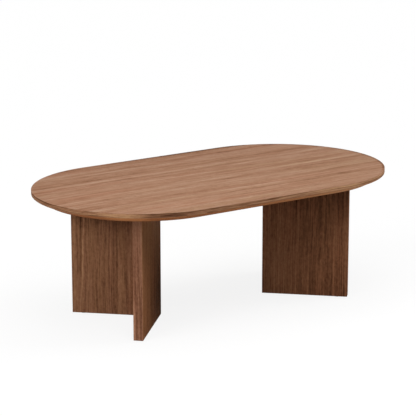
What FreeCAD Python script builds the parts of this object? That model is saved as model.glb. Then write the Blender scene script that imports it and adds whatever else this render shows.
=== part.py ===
"""Oval coffee table: a bevelled stadium top on two V-shaped legs, each of two mitred panels.

The frame is +Z up with the origin on the floor under the middle of the top. The long axis lies along X
and the front faces -Y. Every size below is in millimetres.
"""

import FreeCAD
import Part

import os

import Sketcher

Vector = FreeCAD.Vector
Rotation = FreeCAD.Rotation
Placement = FreeCAD.Placement

# Driving dimensions: alias, value, meaning.
DIMENSIONS = (
    ("top_length", 1150, "overall length of the top"),
    ("top_width", 650, "overall width of the top, and twice the radius of its ends"),
    ("table_height", 400, "floor to the upper face of the top"),
    ("top_thickness", 30, "upper face to underside of the top"),
    ("edge_height", 13, "upright part of the top's edge"),
    ("bevel_run", 35, "how far the bevel under the edge runs inwards"),
    ("lipping_land", 6, "flat of the lipping between the bevel and the core"),
    ("veneer", 0.6, "thickness of every face veneer"),
    ("leg_inset", 386, "end of the top to the outer corner of the V under it"),
    ("panel_length", 265, "outer corner of a V to the free end of a panel"),
    ("panel_thickness", 28, "thickness of a leg panel with its veneers"),
    ("end_lipping", 8, "thickness of the solid strip on a panel's free end"),
    ("plate_thickness", 4, "mounting plate, let into the tops of the panels"),
    ("plate_setback", 8, "outer face of a panel to the edge of the mounting plate"),
    ("plate_margin", 10, "last plate bolt to the front edge of the plate"),
    ("bolt_clearance", 12.5, "inner face of a panel to the axis of a plate bolt"),
    ("bolt_pitch", 36, "plate bolt in the corner to a plate bolt beside a panel"),
    ("bolt_diameter", 6, "shank of a plate bolt"),
    ("bolt_length", 16, "plate bolt under its head"),
    ("bolt_head", 11, "diameter of a plate bolt's head"),
    ("bolt_head_height", 3.4, "height of a plate bolt's head"),
    ("bolt_socket", 4, "hexagon socket across its flats, in plate bolts and glides"),
    ("washer_diameter", 12, "outside of a washer"),
    ("washer_thickness", 1.6, "thickness of a washer"),
    ("insert_wall", 2, "wall of a threaded insert in the top"),
    ("insert_length", 12, "length of a threaded insert in the top"),
    ("screw_diameter", 5, "shank of a plate screw"),
    ("screw_length", 45, "plate screw with its head"),
    ("screw_head", 10, "diameter of a plate screw's countersunk head"),
    ("screw_tip", 6, "pointed end of a plate screw"),
    ("screw_start", 45, "outer corner of a V to the first plate screw of an arm"),
    ("screw_margin", 14, "second plate screw to the end of an arm"),
    ("dowel_diameter", 8, "dowel across the mitre"),
    ("dowel_cover", 5, "wood left between the end of a dowel and the outer face"),
    ("dowel_inset", 13, "inner corner of a V to the dowels, along the mitre"),
    ("dowel_margin", 50, "top or bottom of a panel to the nearest dowel"),
    ("glide_stand", 2, "floor to the bottom of the panels, glides screwed home"),
    ("glide_inset", 32, "free end of a panel to the axis of its glide"),
    ("glide_travel", 6, "how far a glide screws out"),
    ("pad_wall", 3, "panel left on each side of the recess that a foot sits in"),
    ("pad_thickness", 6, "height of a glide's foot"),
    ("pad_floor", 1.2, "foot under the flange of the stem"),
    ("stem_diameter", 6, "threaded stem of a glide"),
    ("stem_hold", 14, "stem left in its sleeve when the glide is screwed out"),
    ("flange_rim", 2, "foot around the flange of the stem"),
    ("flange_height", 1.8, "height of a stem's flange"),
    ("sleeve_wall", 2, "wall of the threaded sleeve that a glide screws into"),
    ("sleeve_length", 20, "length of that sleeve"),
    ("fit", 0.1, "radial room around dowels, screws, inserts and sleeves"),
    ("running_fit", 0.05, "radial room around stems and plate bolts in their threads"),
    ("pad_room", 1, "radial room around a foot in its recess"),
    ("seat_room", 0.3, "room above a foot, around a flange in its foot and at the ends of bores"),
    ("arris", 0.8, "small chamfer on turned pieces"),
)

END_SEGMENTS = ("front", "middle", "rear")
DOWEL_COUNT = 3
HEX_SIDES = 6
CORNER_TURN = 45  # degrees from the long axis to each panel, so that a V is a square corner

# Sizes that follow from the driving dimensions, as expressions of the sheet's cells.
STRAIGHT = "(dims.top_length - dims.top_width)"
END_RADIUS = "(dims.top_width / 2)"
UNDERSIDE = "(dims.table_height - dims.top_thickness)"
LIPPING_WIDTH = "(dims.bevel_run + dims.lipping_land)"
APEX = "(dims.top_length / 2 - dims.leg_inset)"
CORE_TOP = "(dims.table_height - dims.veneer)"
CORE_BOTTOM = f"({UNDERSIDE} + dims.veneer)"
PANEL_HEIGHT = f"({UNDERSIDE} - dims.glide_stand)"
CORE_FACE = "(dims.panel_thickness - dims.veneer)"
INNER_CORNER = "(sqrt(2) * dims.panel_thickness)"
CORNER_BOLT = "(sqrt(2) * (dims.panel_thickness + dims.bolt_clearance))"
BOLT_STEP = "(dims.bolt_pitch / sqrt(2))"
PLATE_TIP = "(sqrt(2) * dims.plate_setback)"
PLATE_FRONT = f"({CORNER_BOLT} + {BOLT_STEP} + dims.plate_margin)"
PLATE_BOTTOM = f"({UNDERSIDE} - dims.plate_thickness)"
ARM_MIDDLE = "((dims.plate_setback + dims.panel_thickness) / 2)"
ARM_END = f"(sqrt(2) * {PLATE_FRONT} - dims.plate_setback)"
LAST_SCREW = f"(sqrt(2) * {PLATE_FRONT} - {ARM_MIDDLE} - dims.screw_margin)"
INSERT_DIAMETER = "(dims.bolt_diameter + 2 * dims.insert_wall)"
BOLT_SEAT = f"({PLATE_BOTTOM} - dims.washer_thickness)"
GLIDE_ALONG = "(dims.panel_length - dims.glide_inset)"
GLIDE_ACROSS = "(dims.panel_thickness / 2)"
RECESS_TOP = "(dims.pad_thickness + dims.seat_room)"
SLEEVE_DIAMETER = "(dims.stem_diameter + 2 * dims.sleeve_wall)"
STEM_TOP = f"({RECESS_TOP} + dims.stem_hold + dims.glide_travel)"
PAD_DIAMETER = "(dims.panel_thickness - 2 * (dims.pad_wall + dims.pad_room))"
FLANGE_DIAMETER = f"({PAD_DIAMETER} - 2 * dims.flange_rim)"
DOWEL_PLACE = f"({INNER_CORNER} - dims.dowel_inset)"
DOWEL_BORE = "(dims.dowel_diameter + 2 * dims.fit)"
DOWEL_DEPTH = f"({DOWEL_PLACE} - {DOWEL_BORE} / 2 - sqrt(2) * dims.dowel_cover)"
BOLT_TIP = f"({BOLT_SEAT} + dims.bolt_length)"

doc = FreeCAD.newDocument("coffee_table")
dims = doc.addObject("Spreadsheet::Sheet", "dims")
for row, (alias, value, meaning) in enumerate(DIMENSIONS, start=1):
    dims.set(f"A{row}", meaning)
    dims.set(f"B{row}", str(value))
    dims.setAlias(f"B{row}", alias)
doc.recompute()

nodes = []


def number(expression):
    """The value, in millimetres or degrees, of an expression of the sheet's cells."""
    result = dims.evalExpression(expression)
    return float(getattr(result, "Value", result))


def keep(shape_object):
    """Puts an object on the list of sub-parts that are written out under their labels."""
    nodes.append(shape_object)
    return shape_object


def origin_feature(body, role):
    """One of a body's own origin planes or axes."""
    return next(f for f in body.Origin.OriginFeatures if f.Role == role)


class Drawing:
    """A sketch on one of a body's origin planes, whose points and sizes are bound to the sheet."""

    def __init__(self, body, plane, lift="0"):
        self.body = body
        self.sketch = body.newObject("Sketcher::SketchObject", f"{body.Name}_drawing")
        self.sketch.AttachmentSupport = [(origin_feature(body, plane), "")]
        self.sketch.MapMode = "FlatFace"
        self.sketch.setExpression("AttachmentOffset.Base.z", lift)

    def bind(self, expression, kind, *where):
        """Adds one sized constraint and ties its value to an expression."""
        index = self.sketch.addConstraint(Sketcher.Constraint(kind, *where, number(expression)))
        self.sketch.setExpression(f"Constraints[{index}]", expression)

    def place(self, geometry, point, x, y):
        """Ties a point of a geometry to its two coordinates."""
        self.bind(x, "DistanceX", -1, 1, geometry, point)
        self.bind(y, "DistanceY", -1, 1, geometry, point)

    def polygon(self, points):
        """A closed outline of straight lines through points given as pairs of expressions."""
        corners = [Vector(number(x), number(y), 0) for x, y in points]
        first = self.sketch.GeometryCount
        for start, end in zip(corners, corners[1:] + corners[:1]):
            self.sketch.addGeometry(Part.LineSegment(start, end))
        last = len(corners) - 1
        for i in range(len(corners)):
            following = first if i == last else first + i + 1
            self.sketch.addConstraint(Sketcher.Constraint("Coincident", first + i, 2, following, 1))
        for i, (x, y) in enumerate(points):
            self.place(first + i, 1, x, y)
        return self

    def circle(self, x, y, diameter):
        """A circle about a point."""
        centre = Vector(number(x), number(y), 0)
        index = self.sketch.addGeometry(Part.Circle(centre, Vector(0, 0, 1), number(diameter) / 2))
        self.place(index, 3, x, y)
        self.bind(diameter, "Diameter", index)
        return self

    def stadium(self, straight, radius):
        """Two half circles about points on the X axis, joined by two straight sides."""
        half, size = number(straight) / 2, number(radius)
        quarter = FreeCAD.Units.Quantity("90 deg").getValueAs("rad").Value
        right = Part.Circle(Vector(half, 0, 0), Vector(0, 0, 1), size)
        left = Part.Circle(Vector(-half, 0, 0), Vector(0, 0, 1), size)
        first = self.sketch.GeometryCount
        self.sketch.addGeometry(Part.ArcOfCircle(right, -quarter, quarter))
        self.sketch.addGeometry(Part.LineSegment(Vector(half, size, 0), Vector(-half, size, 0)))
        self.sketch.addGeometry(Part.ArcOfCircle(left, quarter, 3 * quarter))
        self.sketch.addGeometry(Part.LineSegment(Vector(-half, -size, 0), Vector(half, -size, 0)))
        for i in range(4):
            following = first + (i + 1) % 4
            self.sketch.addConstraint(Sketcher.Constraint("Tangent", first + i, 2, following, 1))
        self.place(first, 3, f"{straight} / 2", "0")
        self.place(first + 2, 3, f"-{straight} / 2", "0")
        self.bind(radius, "Radius", first)
        self.sketch.addConstraint(Sketcher.Constraint("Equal", first, first + 2))
        return self

    def pad(self, length):
        """Raises the outline along the sketch's normal."""
        feature = self.body.newObject("PartDesign::Pad", f"{self.body.Name}_pad")
        feature.Profile = self.sketch
        feature.setExpression("Length", length)
        return feature

    def pocket(self, depth, along_normal):
        """Cuts the outline out of the body, along the sketch's normal or against it."""
        doc.recompute()
        before = self.body.Shape.Volume
        feature = self.body.newObject("PartDesign::Pocket", f"{self.body.Name}_pocket")
        feature.Profile = self.sketch
        feature.Reversed = along_normal
        feature.setExpression("Length", depth)
        doc.recompute()
        if not self.body.Shape.Volume < before:
            raise RuntimeError(f"a pocket of {self.body.Label} cuts nothing")
        return feature

    def revolve(self, degrees):
        """Turns the outline about the body's own Z axis."""
        feature = self.body.newObject("PartDesign::Revolution", f"{self.body.Name}_turn")
        feature.Profile = self.sketch
        feature.ReferenceAxis = (origin_feature(self.body, "Z_Axis"), [""])
        feature.setExpression("Angle", degrees)
        return feature


def new_body(label, x="0", y="0", z="0", turn=None):
    """An empty body whose own origin lies at a point given by three expressions."""
    body = doc.addObject("PartDesign::Body", label)
    body.Label = label
    if turn is not None:
        body.Placement = Placement(Vector(), turn)
    for axis, expression in zip("xyz", (x, y, z)):
        body.setExpression(f"Placement.Base.{axis}", expression)
    return body


def turned(label, profile, x="0", y="0", z="0", turn=None):
    """A round piece: a profile of (radius, height) points turned once about its own Z axis."""
    body = new_body(label, x, y, z, turn)
    Drawing(body, "XZ_Plane").polygon(profile).revolve("360")
    return body


def ring_profile(inner, outer, low, high):
    """The profile of a plain ring between two diameters and two heights."""
    corners = ((inner, low), (outer, low), (outer, high), (inner, high))
    return [(f"{diameter} / 2", height) for diameter, height in corners]


def group(label, pieces):
    """Several separate solids under one label."""
    compound = doc.addObject("Part::Compound", label)
    compound.Label = label
    compound.Links = pieces
    return keep(compound)


def mirrored(label, source, normal):
    """The mirror image of a piece in the plane through the origin with that normal."""
    image = doc.addObject("Part::Mirroring", label)
    image.Label = label
    image.Source = source
    image.Normal = normal
    return keep(image)


def hexagon(across_flats):
    """The corners of a hexagon about the origin."""
    radius = f"{across_flats} / sqrt(3)"
    angles = [360 * i // HEX_SIDES for i in range(HEX_SIDES)]
    return [(f"{radius} * cos({a} deg)", f"{radius} * sin({a} deg)") for a in angles]


def leg_sides():
    """The two legs, by name and by the sign of their X coordinates."""
    return (("left", "-"), ("right", ""))


def panel_sides():
    """The four leg panels, by name and by the signs of their X and Y coordinates."""
    return tuple(
        (f"{leg}_{side}", x_sign, y_sign)
        for leg, x_sign in leg_sides()
        for side, y_sign in (("front", "-"), ("rear", ""))
    )


def on_panel(along, across):
    """Plan coordinates of a point on a panel, from its outer corner and its outer face."""
    x = f"({APEX} + ({along} + {across}) / sqrt(2))"
    y = f"(({along} - {across}) / sqrt(2))"
    return x, y


def bolt_places():
    """Plan offsets of a leg's plate bolts from the outer corner of its V."""
    beside = f"({CORNER_BOLT} + {BOLT_STEP})"
    return ((CORNER_BOLT, "0"), (beside, BOLT_STEP), (beside, f"-{BOLT_STEP}"))


def all_bolt_points():
    """Plan coordinates of every plate bolt, in both legs."""
    return [
        (f"{sign}({APEX} + {x})", y)
        for _, sign in leg_sides()
        for x, y in bolt_places()
    ]


def insert_holes(drawing):
    """Draws the holes that the threaded inserts sit in."""
    for x, y in all_bolt_points():
        drawing.circle(x, y, f"({INSERT_DIAMETER} + 2 * dims.fit)")
    return drawing


def make_top():
    """The core board, its two face veneers and the solid lipping round it."""
    core = new_body("top_core")
    inset_radius = f"({END_RADIUS} - {LIPPING_WIDTH})"
    Drawing(core, "XY_Plane", CORE_BOTTOM).stadium(STRAIGHT, inset_radius).pad(
        f"{CORE_TOP} - {CORE_BOTTOM}"
    )
    holes = insert_holes(Drawing(core, "XY_Plane", CORE_BOTTOM))
    hole_top = f"(max({UNDERSIDE} + dims.insert_length; {BOLT_TIP}) + dims.seat_room)"
    holes.pocket(f"{hole_top} - {CORE_BOTTOM}", along_normal=True)
    keep(core)

    face = new_body("top_face_veneer")
    Drawing(face, "XY_Plane", CORE_TOP).stadium(STRAIGHT, END_RADIUS).pad("dims.veneer")
    keep(face)

    underside = new_body("top_underside_veneer")
    outline = Drawing(underside, "XY_Plane", UNDERSIDE)
    outline.stadium(STRAIGHT, f"({END_RADIUS} - dims.bevel_run)")
    insert_holes(outline).pad("dims.veneer")
    keep(underside)

    make_lipping()


def lipping_profile(sign=""):
    """The bevelled section of the lipping, outwards from the long axis, with heights above the floor."""
    corners = (
        (f"({END_RADIUS} - {LIPPING_WIDTH})", CORE_TOP),
        (f"({END_RADIUS} - {LIPPING_WIDTH})", CORE_BOTTOM),
        (f"({END_RADIUS} - dims.bevel_run)", CORE_BOTTOM),
        (END_RADIUS, "(dims.table_height - dims.edge_height)"),
        (END_RADIUS, CORE_TOP),
    )
    return [(f"{sign}{out}", height) for out, height in corners]


def make_lipping():
    """Straight lengths along the sides, and each round end in segments of equal angle."""
    for side, sign in (("front", "-"), ("rear", "")):
        length = new_body(f"lipping_{side}")
        Drawing(length, "YZ_Plane", f"-{STRAIGHT} / 2").polygon(lipping_profile(sign)).pad(STRAIGHT)
        keep(length)
    sweep = 180 / len(END_SEGMENTS)
    for end, sign, from_front in (("right", "", 1), ("left", "-", -1)):
        for i, place in enumerate(END_SEGMENTS):
            start = -90 + sweep * i if from_front > 0 else -90 - sweep * (i + 1)
            turn = Rotation(Vector(0, 0, 1), start)
            segment = new_body(f"lipping_{end}_{place}", x=f"{sign}{STRAIGHT} / 2", turn=turn)
            Drawing(segment, "XZ_Plane").polygon(lipping_profile()).revolve(str(sweep))
            keep(segment)


def panel_layer(label, outer, inner, start_end):
    """A layer of the right front panel between two depths from its outer face, mitred at the V's corner.

    start_end holds where the layer begins along the panel, or None for the mitre, and where it ends.
    """
    turn = Rotation(Vector(0, 0, 1), -CORNER_TURN)
    layer = new_body(label, x=APEX, turn=turn)
    start, end = start_end
    outline = (
        (start or outer, outer),
        (end, outer),
        (end, inner),
        (start or inner, inner),
    )
    Drawing(layer, "XY_Plane", "dims.glide_stand").polygon(outline).pad(PANEL_HEIGHT)
    return layer


def plate_recess(layer):
    """Lets the mounting plate into the top of a panel layer."""
    near = "(dims.plate_setback - dims.fit)"
    far = "(dims.panel_thickness + dims.fit)"
    end = f"({ARM_END} + dims.fit)"
    corners = (("0", near), (end, near), (end, far), ("0", far))
    Drawing(layer, "XY_Plane", UNDERSIDE).polygon(corners).pocket("dims.plate_thickness", False)


def drill_core(core):
    """The bores of a panel's core: plate screws, mitre dowels and the glide with its recess."""
    bores = Drawing(core, "XY_Plane", PLATE_BOTTOM)
    for along in ("dims.screw_start", LAST_SCREW):
        bores.circle(along, ARM_MIDDLE, "(dims.screw_diameter + 2 * dims.fit)")
    bores.pocket("dims.screw_length - dims.plate_thickness + dims.seat_room", along_normal=False)

    mitre = Drawing(core, "XZ_Plane")
    mitre.sketch.AttachmentOffset = Placement(Vector(), Rotation(Vector(0, 1, 0), CORNER_TURN))
    for height in dowel_heights():
        mitre.circle(DOWEL_PLACE, height, DOWEL_BORE)
    mitre.pocket(DOWEL_DEPTH, along_normal=True)

    recess = Drawing(core, "XY_Plane", "dims.glide_stand")
    recess.circle(GLIDE_ALONG, GLIDE_ACROSS, f"({PAD_DIAMETER} + 2 * dims.pad_room)")
    recess.pocket(f"{RECESS_TOP} - dims.glide_stand", along_normal=True)
    bore = Drawing(core, "XY_Plane", "dims.glide_stand")
    bore.circle(GLIDE_ALONG, GLIDE_ACROSS, f"({SLEEVE_DIAMETER} + 2 * dims.fit)")
    bore_top = f"(max({STEM_TOP}; {RECESS_TOP} + dims.sleeve_length) + dims.seat_room)"
    bore.pocket(f"{bore_top} - dims.glide_stand", along_normal=True)


def dowel_heights():
    """Heights of the mitre dowels above the floor, evenly spaced."""
    low = "(dims.glide_stand + dims.dowel_margin)"
    span = f"({PANEL_HEIGHT} - 2 * dims.dowel_margin)"
    return [f"({low} + {span} * {i} / {DOWEL_COUNT - 1})" for i in range(DOWEL_COUNT)]


def make_panels():
    """The right front panel, and its mirror images at the other three places."""
    core_end = "(dims.panel_length - dims.end_lipping)"
    core = panel_layer("right_front_panel_core", "dims.veneer", CORE_FACE, (None, core_end))
    plate_recess(core)
    drill_core(core)
    outer = panel_layer("right_front_outer_veneer", "0", "dims.veneer", (None, "dims.panel_length"))
    inner = panel_layer(
        "right_front_inner_veneer", CORE_FACE, "dims.panel_thickness", (None, "dims.panel_length")
    )
    plate_recess(inner)
    strip = panel_layer(
        "right_front_end_lipping", "dims.veneer", CORE_FACE, (core_end, "dims.panel_length")
    )
    for piece in (core, outer, inner, strip):
        name = piece.Label.removeprefix("right_front_")
        keep(piece)
        rear = mirrored(f"right_rear_{name}", piece, Vector(0, 1, 0))
        mirrored(f"left_front_{name}", piece, Vector(1, 0, 0))
        mirrored(f"left_rear_{name}", rear, Vector(1, 0, 0))


def make_dowels():
    """Dowels across the mitre of each V."""
    long_way = Rotation(Vector(1, 0, 0), -90)
    radius, half = "(dims.dowel_diameter / 2)", f"({DOWEL_DEPTH} - dims.seat_room)"
    profile = (
        ("0", f"-{half}"),
        (f"({radius} - dims.arris)", f"-{half}"),
        (radius, f"(dims.arris - {half})"),
        (radius, f"({half} - dims.arris)"),
        (f"({radius} - dims.arris)", half),
        ("0", half),
    )
    for leg, sign in leg_sides():
        x = f"{sign}({APEX} + {DOWEL_PLACE})"
        dowels = [
            turned(f"{leg}_dowel_{i}", profile, x=x, z=height, turn=long_way)
            for i, height in enumerate(dowel_heights())
        ]
        group(f"{leg}_mitre_dowels", dowels)


def make_plates():
    """A three-cornered steel plate in the top of each V, with holes for its bolts and screws."""
    plate = new_body("right_mounting_plate", x=APEX)
    reach = f"({PLATE_FRONT} - {PLATE_TIP})"
    corners = ((PLATE_TIP, "0"), (PLATE_FRONT, f"-{reach}"), (PLATE_FRONT, reach))
    Drawing(plate, "XY_Plane", PLATE_BOTTOM).polygon(corners).pad("dims.plate_thickness")
    bolts = Drawing(plate, "XY_Plane", UNDERSIDE)
    for x, y in bolt_places():
        bolts.circle(x, y, "(dims.bolt_diameter + 2 * dims.seat_room)")
    bolts.pocket("dims.plate_thickness", along_normal=False)

    screws = Drawing(plate, "XY_Plane", UNDERSIDE)
    for along in ("dims.screw_start", LAST_SCREW):
        x, y = on_panel(along, ARM_MIDDLE)
        for sign in ("", "-"):
            screws.circle(f"({x} - {APEX})", f"{sign}{y}", "dims.screw_diameter + 2 * dims.fit")
    doc.recompute()
    hole = plate.newObject("PartDesign::Hole", "plate_screw_holes")
    hole.Profile = screws.sketch
    hole.DepthType = "ThroughAll"
    hole.HoleCutType = "Countersink"
    hole.HoleCutCustomValues = True
    hole.HoleCutCountersinkAngle = 90
    hole.setExpression("Diameter", "dims.screw_diameter + 2 * dims.fit")
    hole.setExpression("HoleCutDiameter", "dims.screw_head + 2 * dims.seat_room")
    keep(plate)
    mirrored("left_mounting_plate", plate, Vector(1, 0, 0))


def make_plate_screws():
    """Countersunk screws through each plate into the tops of its panels."""
    top = f"({UNDERSIDE} - dims.seat_room)"
    shank, head = "(dims.screw_diameter / 2)", "(dims.screw_head / 2)"
    bottom = f"({top} - dims.screw_length)"
    profile = (
        ("0", bottom),
        (shank, f"({bottom} + dims.screw_tip)"),
        (shank, f"({top} - {head} + {shank})"),
        (head, top),
        ("0", top),
    )
    for leg, x_sign in leg_sides():
        screws = []
        for along in ("dims.screw_start", LAST_SCREW):
            x, y = on_panel(along, ARM_MIDDLE)
            for y_sign in ("", "-"):
                name = f"{leg}_screw_{len(screws)}"
                screws.append(turned(name, profile, x=f"{x_sign}{x}", y=f"{y_sign}{y}"))
        group(f"{leg}_plate_screws", screws)


def socket(body, low, depth):
    """Cuts a hexagon socket upwards into a turned piece."""
    Drawing(body, "XY_Plane", low).polygon(hexagon("dims.bolt_socket")).pocket(depth, along_normal=True)


def make_plate_bolts():
    """Bolts with washers that pull each plate up against the top, and the inserts they screw into."""
    head_bottom = f"({BOLT_SEAT} - dims.bolt_head_height)"
    shank, head = "(dims.bolt_diameter / 2)", "(dims.bolt_head / 2)"
    bolt_profile = (
        ("0", head_bottom),
        (f"({head} - dims.arris)", head_bottom),
        (head, f"({head_bottom} + dims.arris)"),
        (head, BOLT_SEAT),
        (shank, BOLT_SEAT),
        (shank, f"({BOLT_TIP} - dims.arris)"),
        (f"({shank} - dims.arris)", BOLT_TIP),
        ("0", BOLT_TIP),
    )
    through = "(dims.bolt_diameter + 2 * dims.running_fit)"
    washer_profile = ring_profile(
        "(dims.bolt_diameter + 2 * dims.seat_room)", "dims.washer_diameter", BOLT_SEAT, PLATE_BOTTOM
    )
    insert_profile = ring_profile(
        through, INSERT_DIAMETER, UNDERSIDE, f"({UNDERSIDE} + dims.insert_length)"
    )
    for leg, sign in leg_sides():
        bolts, washers, inserts = [], [], []
        for i, (along, across) in enumerate(bolt_places()):
            place = {"x": f"{sign}({APEX} + {along})", "y": across}
            bolt = turned(f"{leg}_bolt_{i}", bolt_profile, **place)
            socket(bolt, head_bottom, "dims.bolt_head_height / 2")
            bolts.append(bolt)
            washers.append(turned(f"{leg}_washer_{i}", washer_profile, **place))
            inserts.append(turned(f"{leg}_insert_{i}", insert_profile, **place))
        group(f"{leg}_plate_bolts", bolts)
        group(f"{leg}_bolt_washers", washers)
        group(f"{leg}_top_inserts", inserts)


def pad_profile():
    """The foot of a glide: a disc that holds the stem's flange in an undercut, open in the middle."""
    outer = f"({PAD_DIAMETER} / 2)"
    key_hole = "(dims.bolt_socket / 2 + dims.pad_room)"
    cavity = f"({FLANGE_DIAMETER} / 2 + dims.seat_room)"
    neck = "(dims.stem_diameter / 2 + dims.seat_room)"
    cavity_low = "(dims.pad_floor - dims.running_fit)"
    cavity_top = "(dims.pad_floor + dims.flange_height + dims.running_fit)"
    return (
        (key_hole, "0"),
        (f"({outer} - dims.arris)", "0"),
        (outer, "dims.arris"),
        (outer, "(dims.pad_thickness - dims.arris)"),
        (f"({outer} - dims.arris)", "dims.pad_thickness"),
        (neck, "dims.pad_thickness"),
        (neck, cavity_top),
        (cavity, cavity_top),
        (cavity, cavity_low),
        (key_hole, cavity_low),
    )


def stem_profile():
    """The stem of a glide, with the flange that its foot holds."""
    stem, flange = "(dims.stem_diameter / 2)", f"({FLANGE_DIAMETER} / 2)"
    flange_top = "(dims.pad_floor + dims.flange_height)"
    return (
        ("0", "dims.pad_floor"),
        (flange, "dims.pad_floor"),
        (flange, flange_top),
        (stem, flange_top),
        (stem, f"({STEM_TOP} - dims.arris)"),
        (f"({stem} - dims.arris)", STEM_TOP),
        ("0", STEM_TOP),
    )


def make_glides():
    """A levelling glide under the free end of every panel, and the sleeve that it screws into."""
    sleeve_profile = ring_profile(
        "(dims.stem_diameter + 2 * dims.running_fit)",
        SLEEVE_DIAMETER,
        RECESS_TOP,
        f"({RECESS_TOP} + dims.sleeve_length)",
    )
    x, y = on_panel(GLIDE_ALONG, GLIDE_ACROSS)
    sleeves = {leg: [] for leg, _ in leg_sides()}
    for name, x_sign, y_sign in panel_sides():
        place = {"x": f"{x_sign}{x}", "y": f"{y_sign}{y}"}
        keep(turned(f"{name}_glide_foot", pad_profile(), **place))
        stem = keep(turned(f"{name}_glide_stem", stem_profile(), **place))
        socket(stem, "dims.pad_floor", "dims.flange_height")
        leg = name.split("_")[0]
        sleeves[leg].append(turned(f"{name}_sleeve", sleeve_profile, **place))
    for leg, pieces in sleeves.items():
        group(f"{leg}_glide_sleeves", pieces)


def write_nodes():
    """Checks every object and writes each sub-part to its own file."""
    doc.recompute()
    failed = [o.Label for o in doc.Objects if {"Invalid", "Error"} & set(o.State)]
    failed += [n.Label for n in nodes if n.Shape.isNull() or not n.Shape.isValid()]
    if failed:
        raise RuntimeError(f"these objects failed: {sorted(set(failed))}")
    os.makedirs("parts", exist_ok=True)
    for node in nodes:
        node.Shape.exportStep(os.path.join("parts", f"{node.Label}.step"))
        print(f"{node.Label}: {len(node.Shape.Solids)} solid(s), {node.Shape.Volume:.1f} mm3")
    foot_x, foot_y = (number(e) for e in on_panel(GLIDE_ALONG, GLIDE_ACROSS))
    print(f"{len(nodes)} sub-parts; glides at x {foot_x:.3f} and y {foot_y:.3f} mm")


make_top()
make_panels()
make_dowels()
make_plates()
make_plate_screws()
make_plate_bolts()
make_glides()
write_nodes()
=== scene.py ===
"""Looks of the oval coffee table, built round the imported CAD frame.

The top is a walnut veneered board with solid walnut lippings, bevelled below.
It stands on two V legs of veneered board, and these on levelling glides.
Sizes in the classes are millimetres, and the meshes are in metres.
"""

import logging
import math
from dataclasses import dataclass, replace
from enum import Enum
from typing import Callable, Optional, Union

import bmesh
import bpy
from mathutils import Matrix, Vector


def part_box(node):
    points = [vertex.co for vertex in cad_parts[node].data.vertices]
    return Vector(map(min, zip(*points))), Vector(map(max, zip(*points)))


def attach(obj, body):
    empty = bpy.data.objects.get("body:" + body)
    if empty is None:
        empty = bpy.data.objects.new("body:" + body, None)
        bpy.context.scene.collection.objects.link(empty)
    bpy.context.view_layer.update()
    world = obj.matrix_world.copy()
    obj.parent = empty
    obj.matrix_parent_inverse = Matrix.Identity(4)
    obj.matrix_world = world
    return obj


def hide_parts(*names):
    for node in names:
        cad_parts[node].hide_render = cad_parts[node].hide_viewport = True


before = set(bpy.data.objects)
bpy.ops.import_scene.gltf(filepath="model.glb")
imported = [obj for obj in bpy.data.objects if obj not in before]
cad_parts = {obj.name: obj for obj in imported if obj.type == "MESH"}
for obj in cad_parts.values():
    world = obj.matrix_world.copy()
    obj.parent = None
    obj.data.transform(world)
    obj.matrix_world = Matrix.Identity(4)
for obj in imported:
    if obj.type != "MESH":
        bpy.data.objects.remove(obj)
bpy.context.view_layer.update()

MM = 0.001
MERGE_DISTANCE = 1e-6
FLAT_ANGLE = 0.5
SHARP_ANGLE = 32.0
EASING_STEPS = 3
PICK_MARGIN = 0.1
DIAGONAL = math.sqrt(0.5)
LOG = logging.getLogger("oval_table")

Colour = tuple[float, float, float]
Direction = tuple[float, float, float]
Span = tuple[float, float]
Stop = tuple[float, Colour]
Socket = bpy.types.NodeSocket
Material = bpy.types.Material
Mesh = bpy.types.Mesh
Piece = bpy.types.Object
EdgeTest = Callable[[bmesh.types.BMEdge], bool]

WHITE = (1.0, 1.0, 1.0)
ALONG_X = (1.0, 0.0, 0.0)
ALONG_Y = (0.0, 1.0, 0.0)
UPRIGHT = (0.0, 0.0, 1.0)


# Node trees


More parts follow.
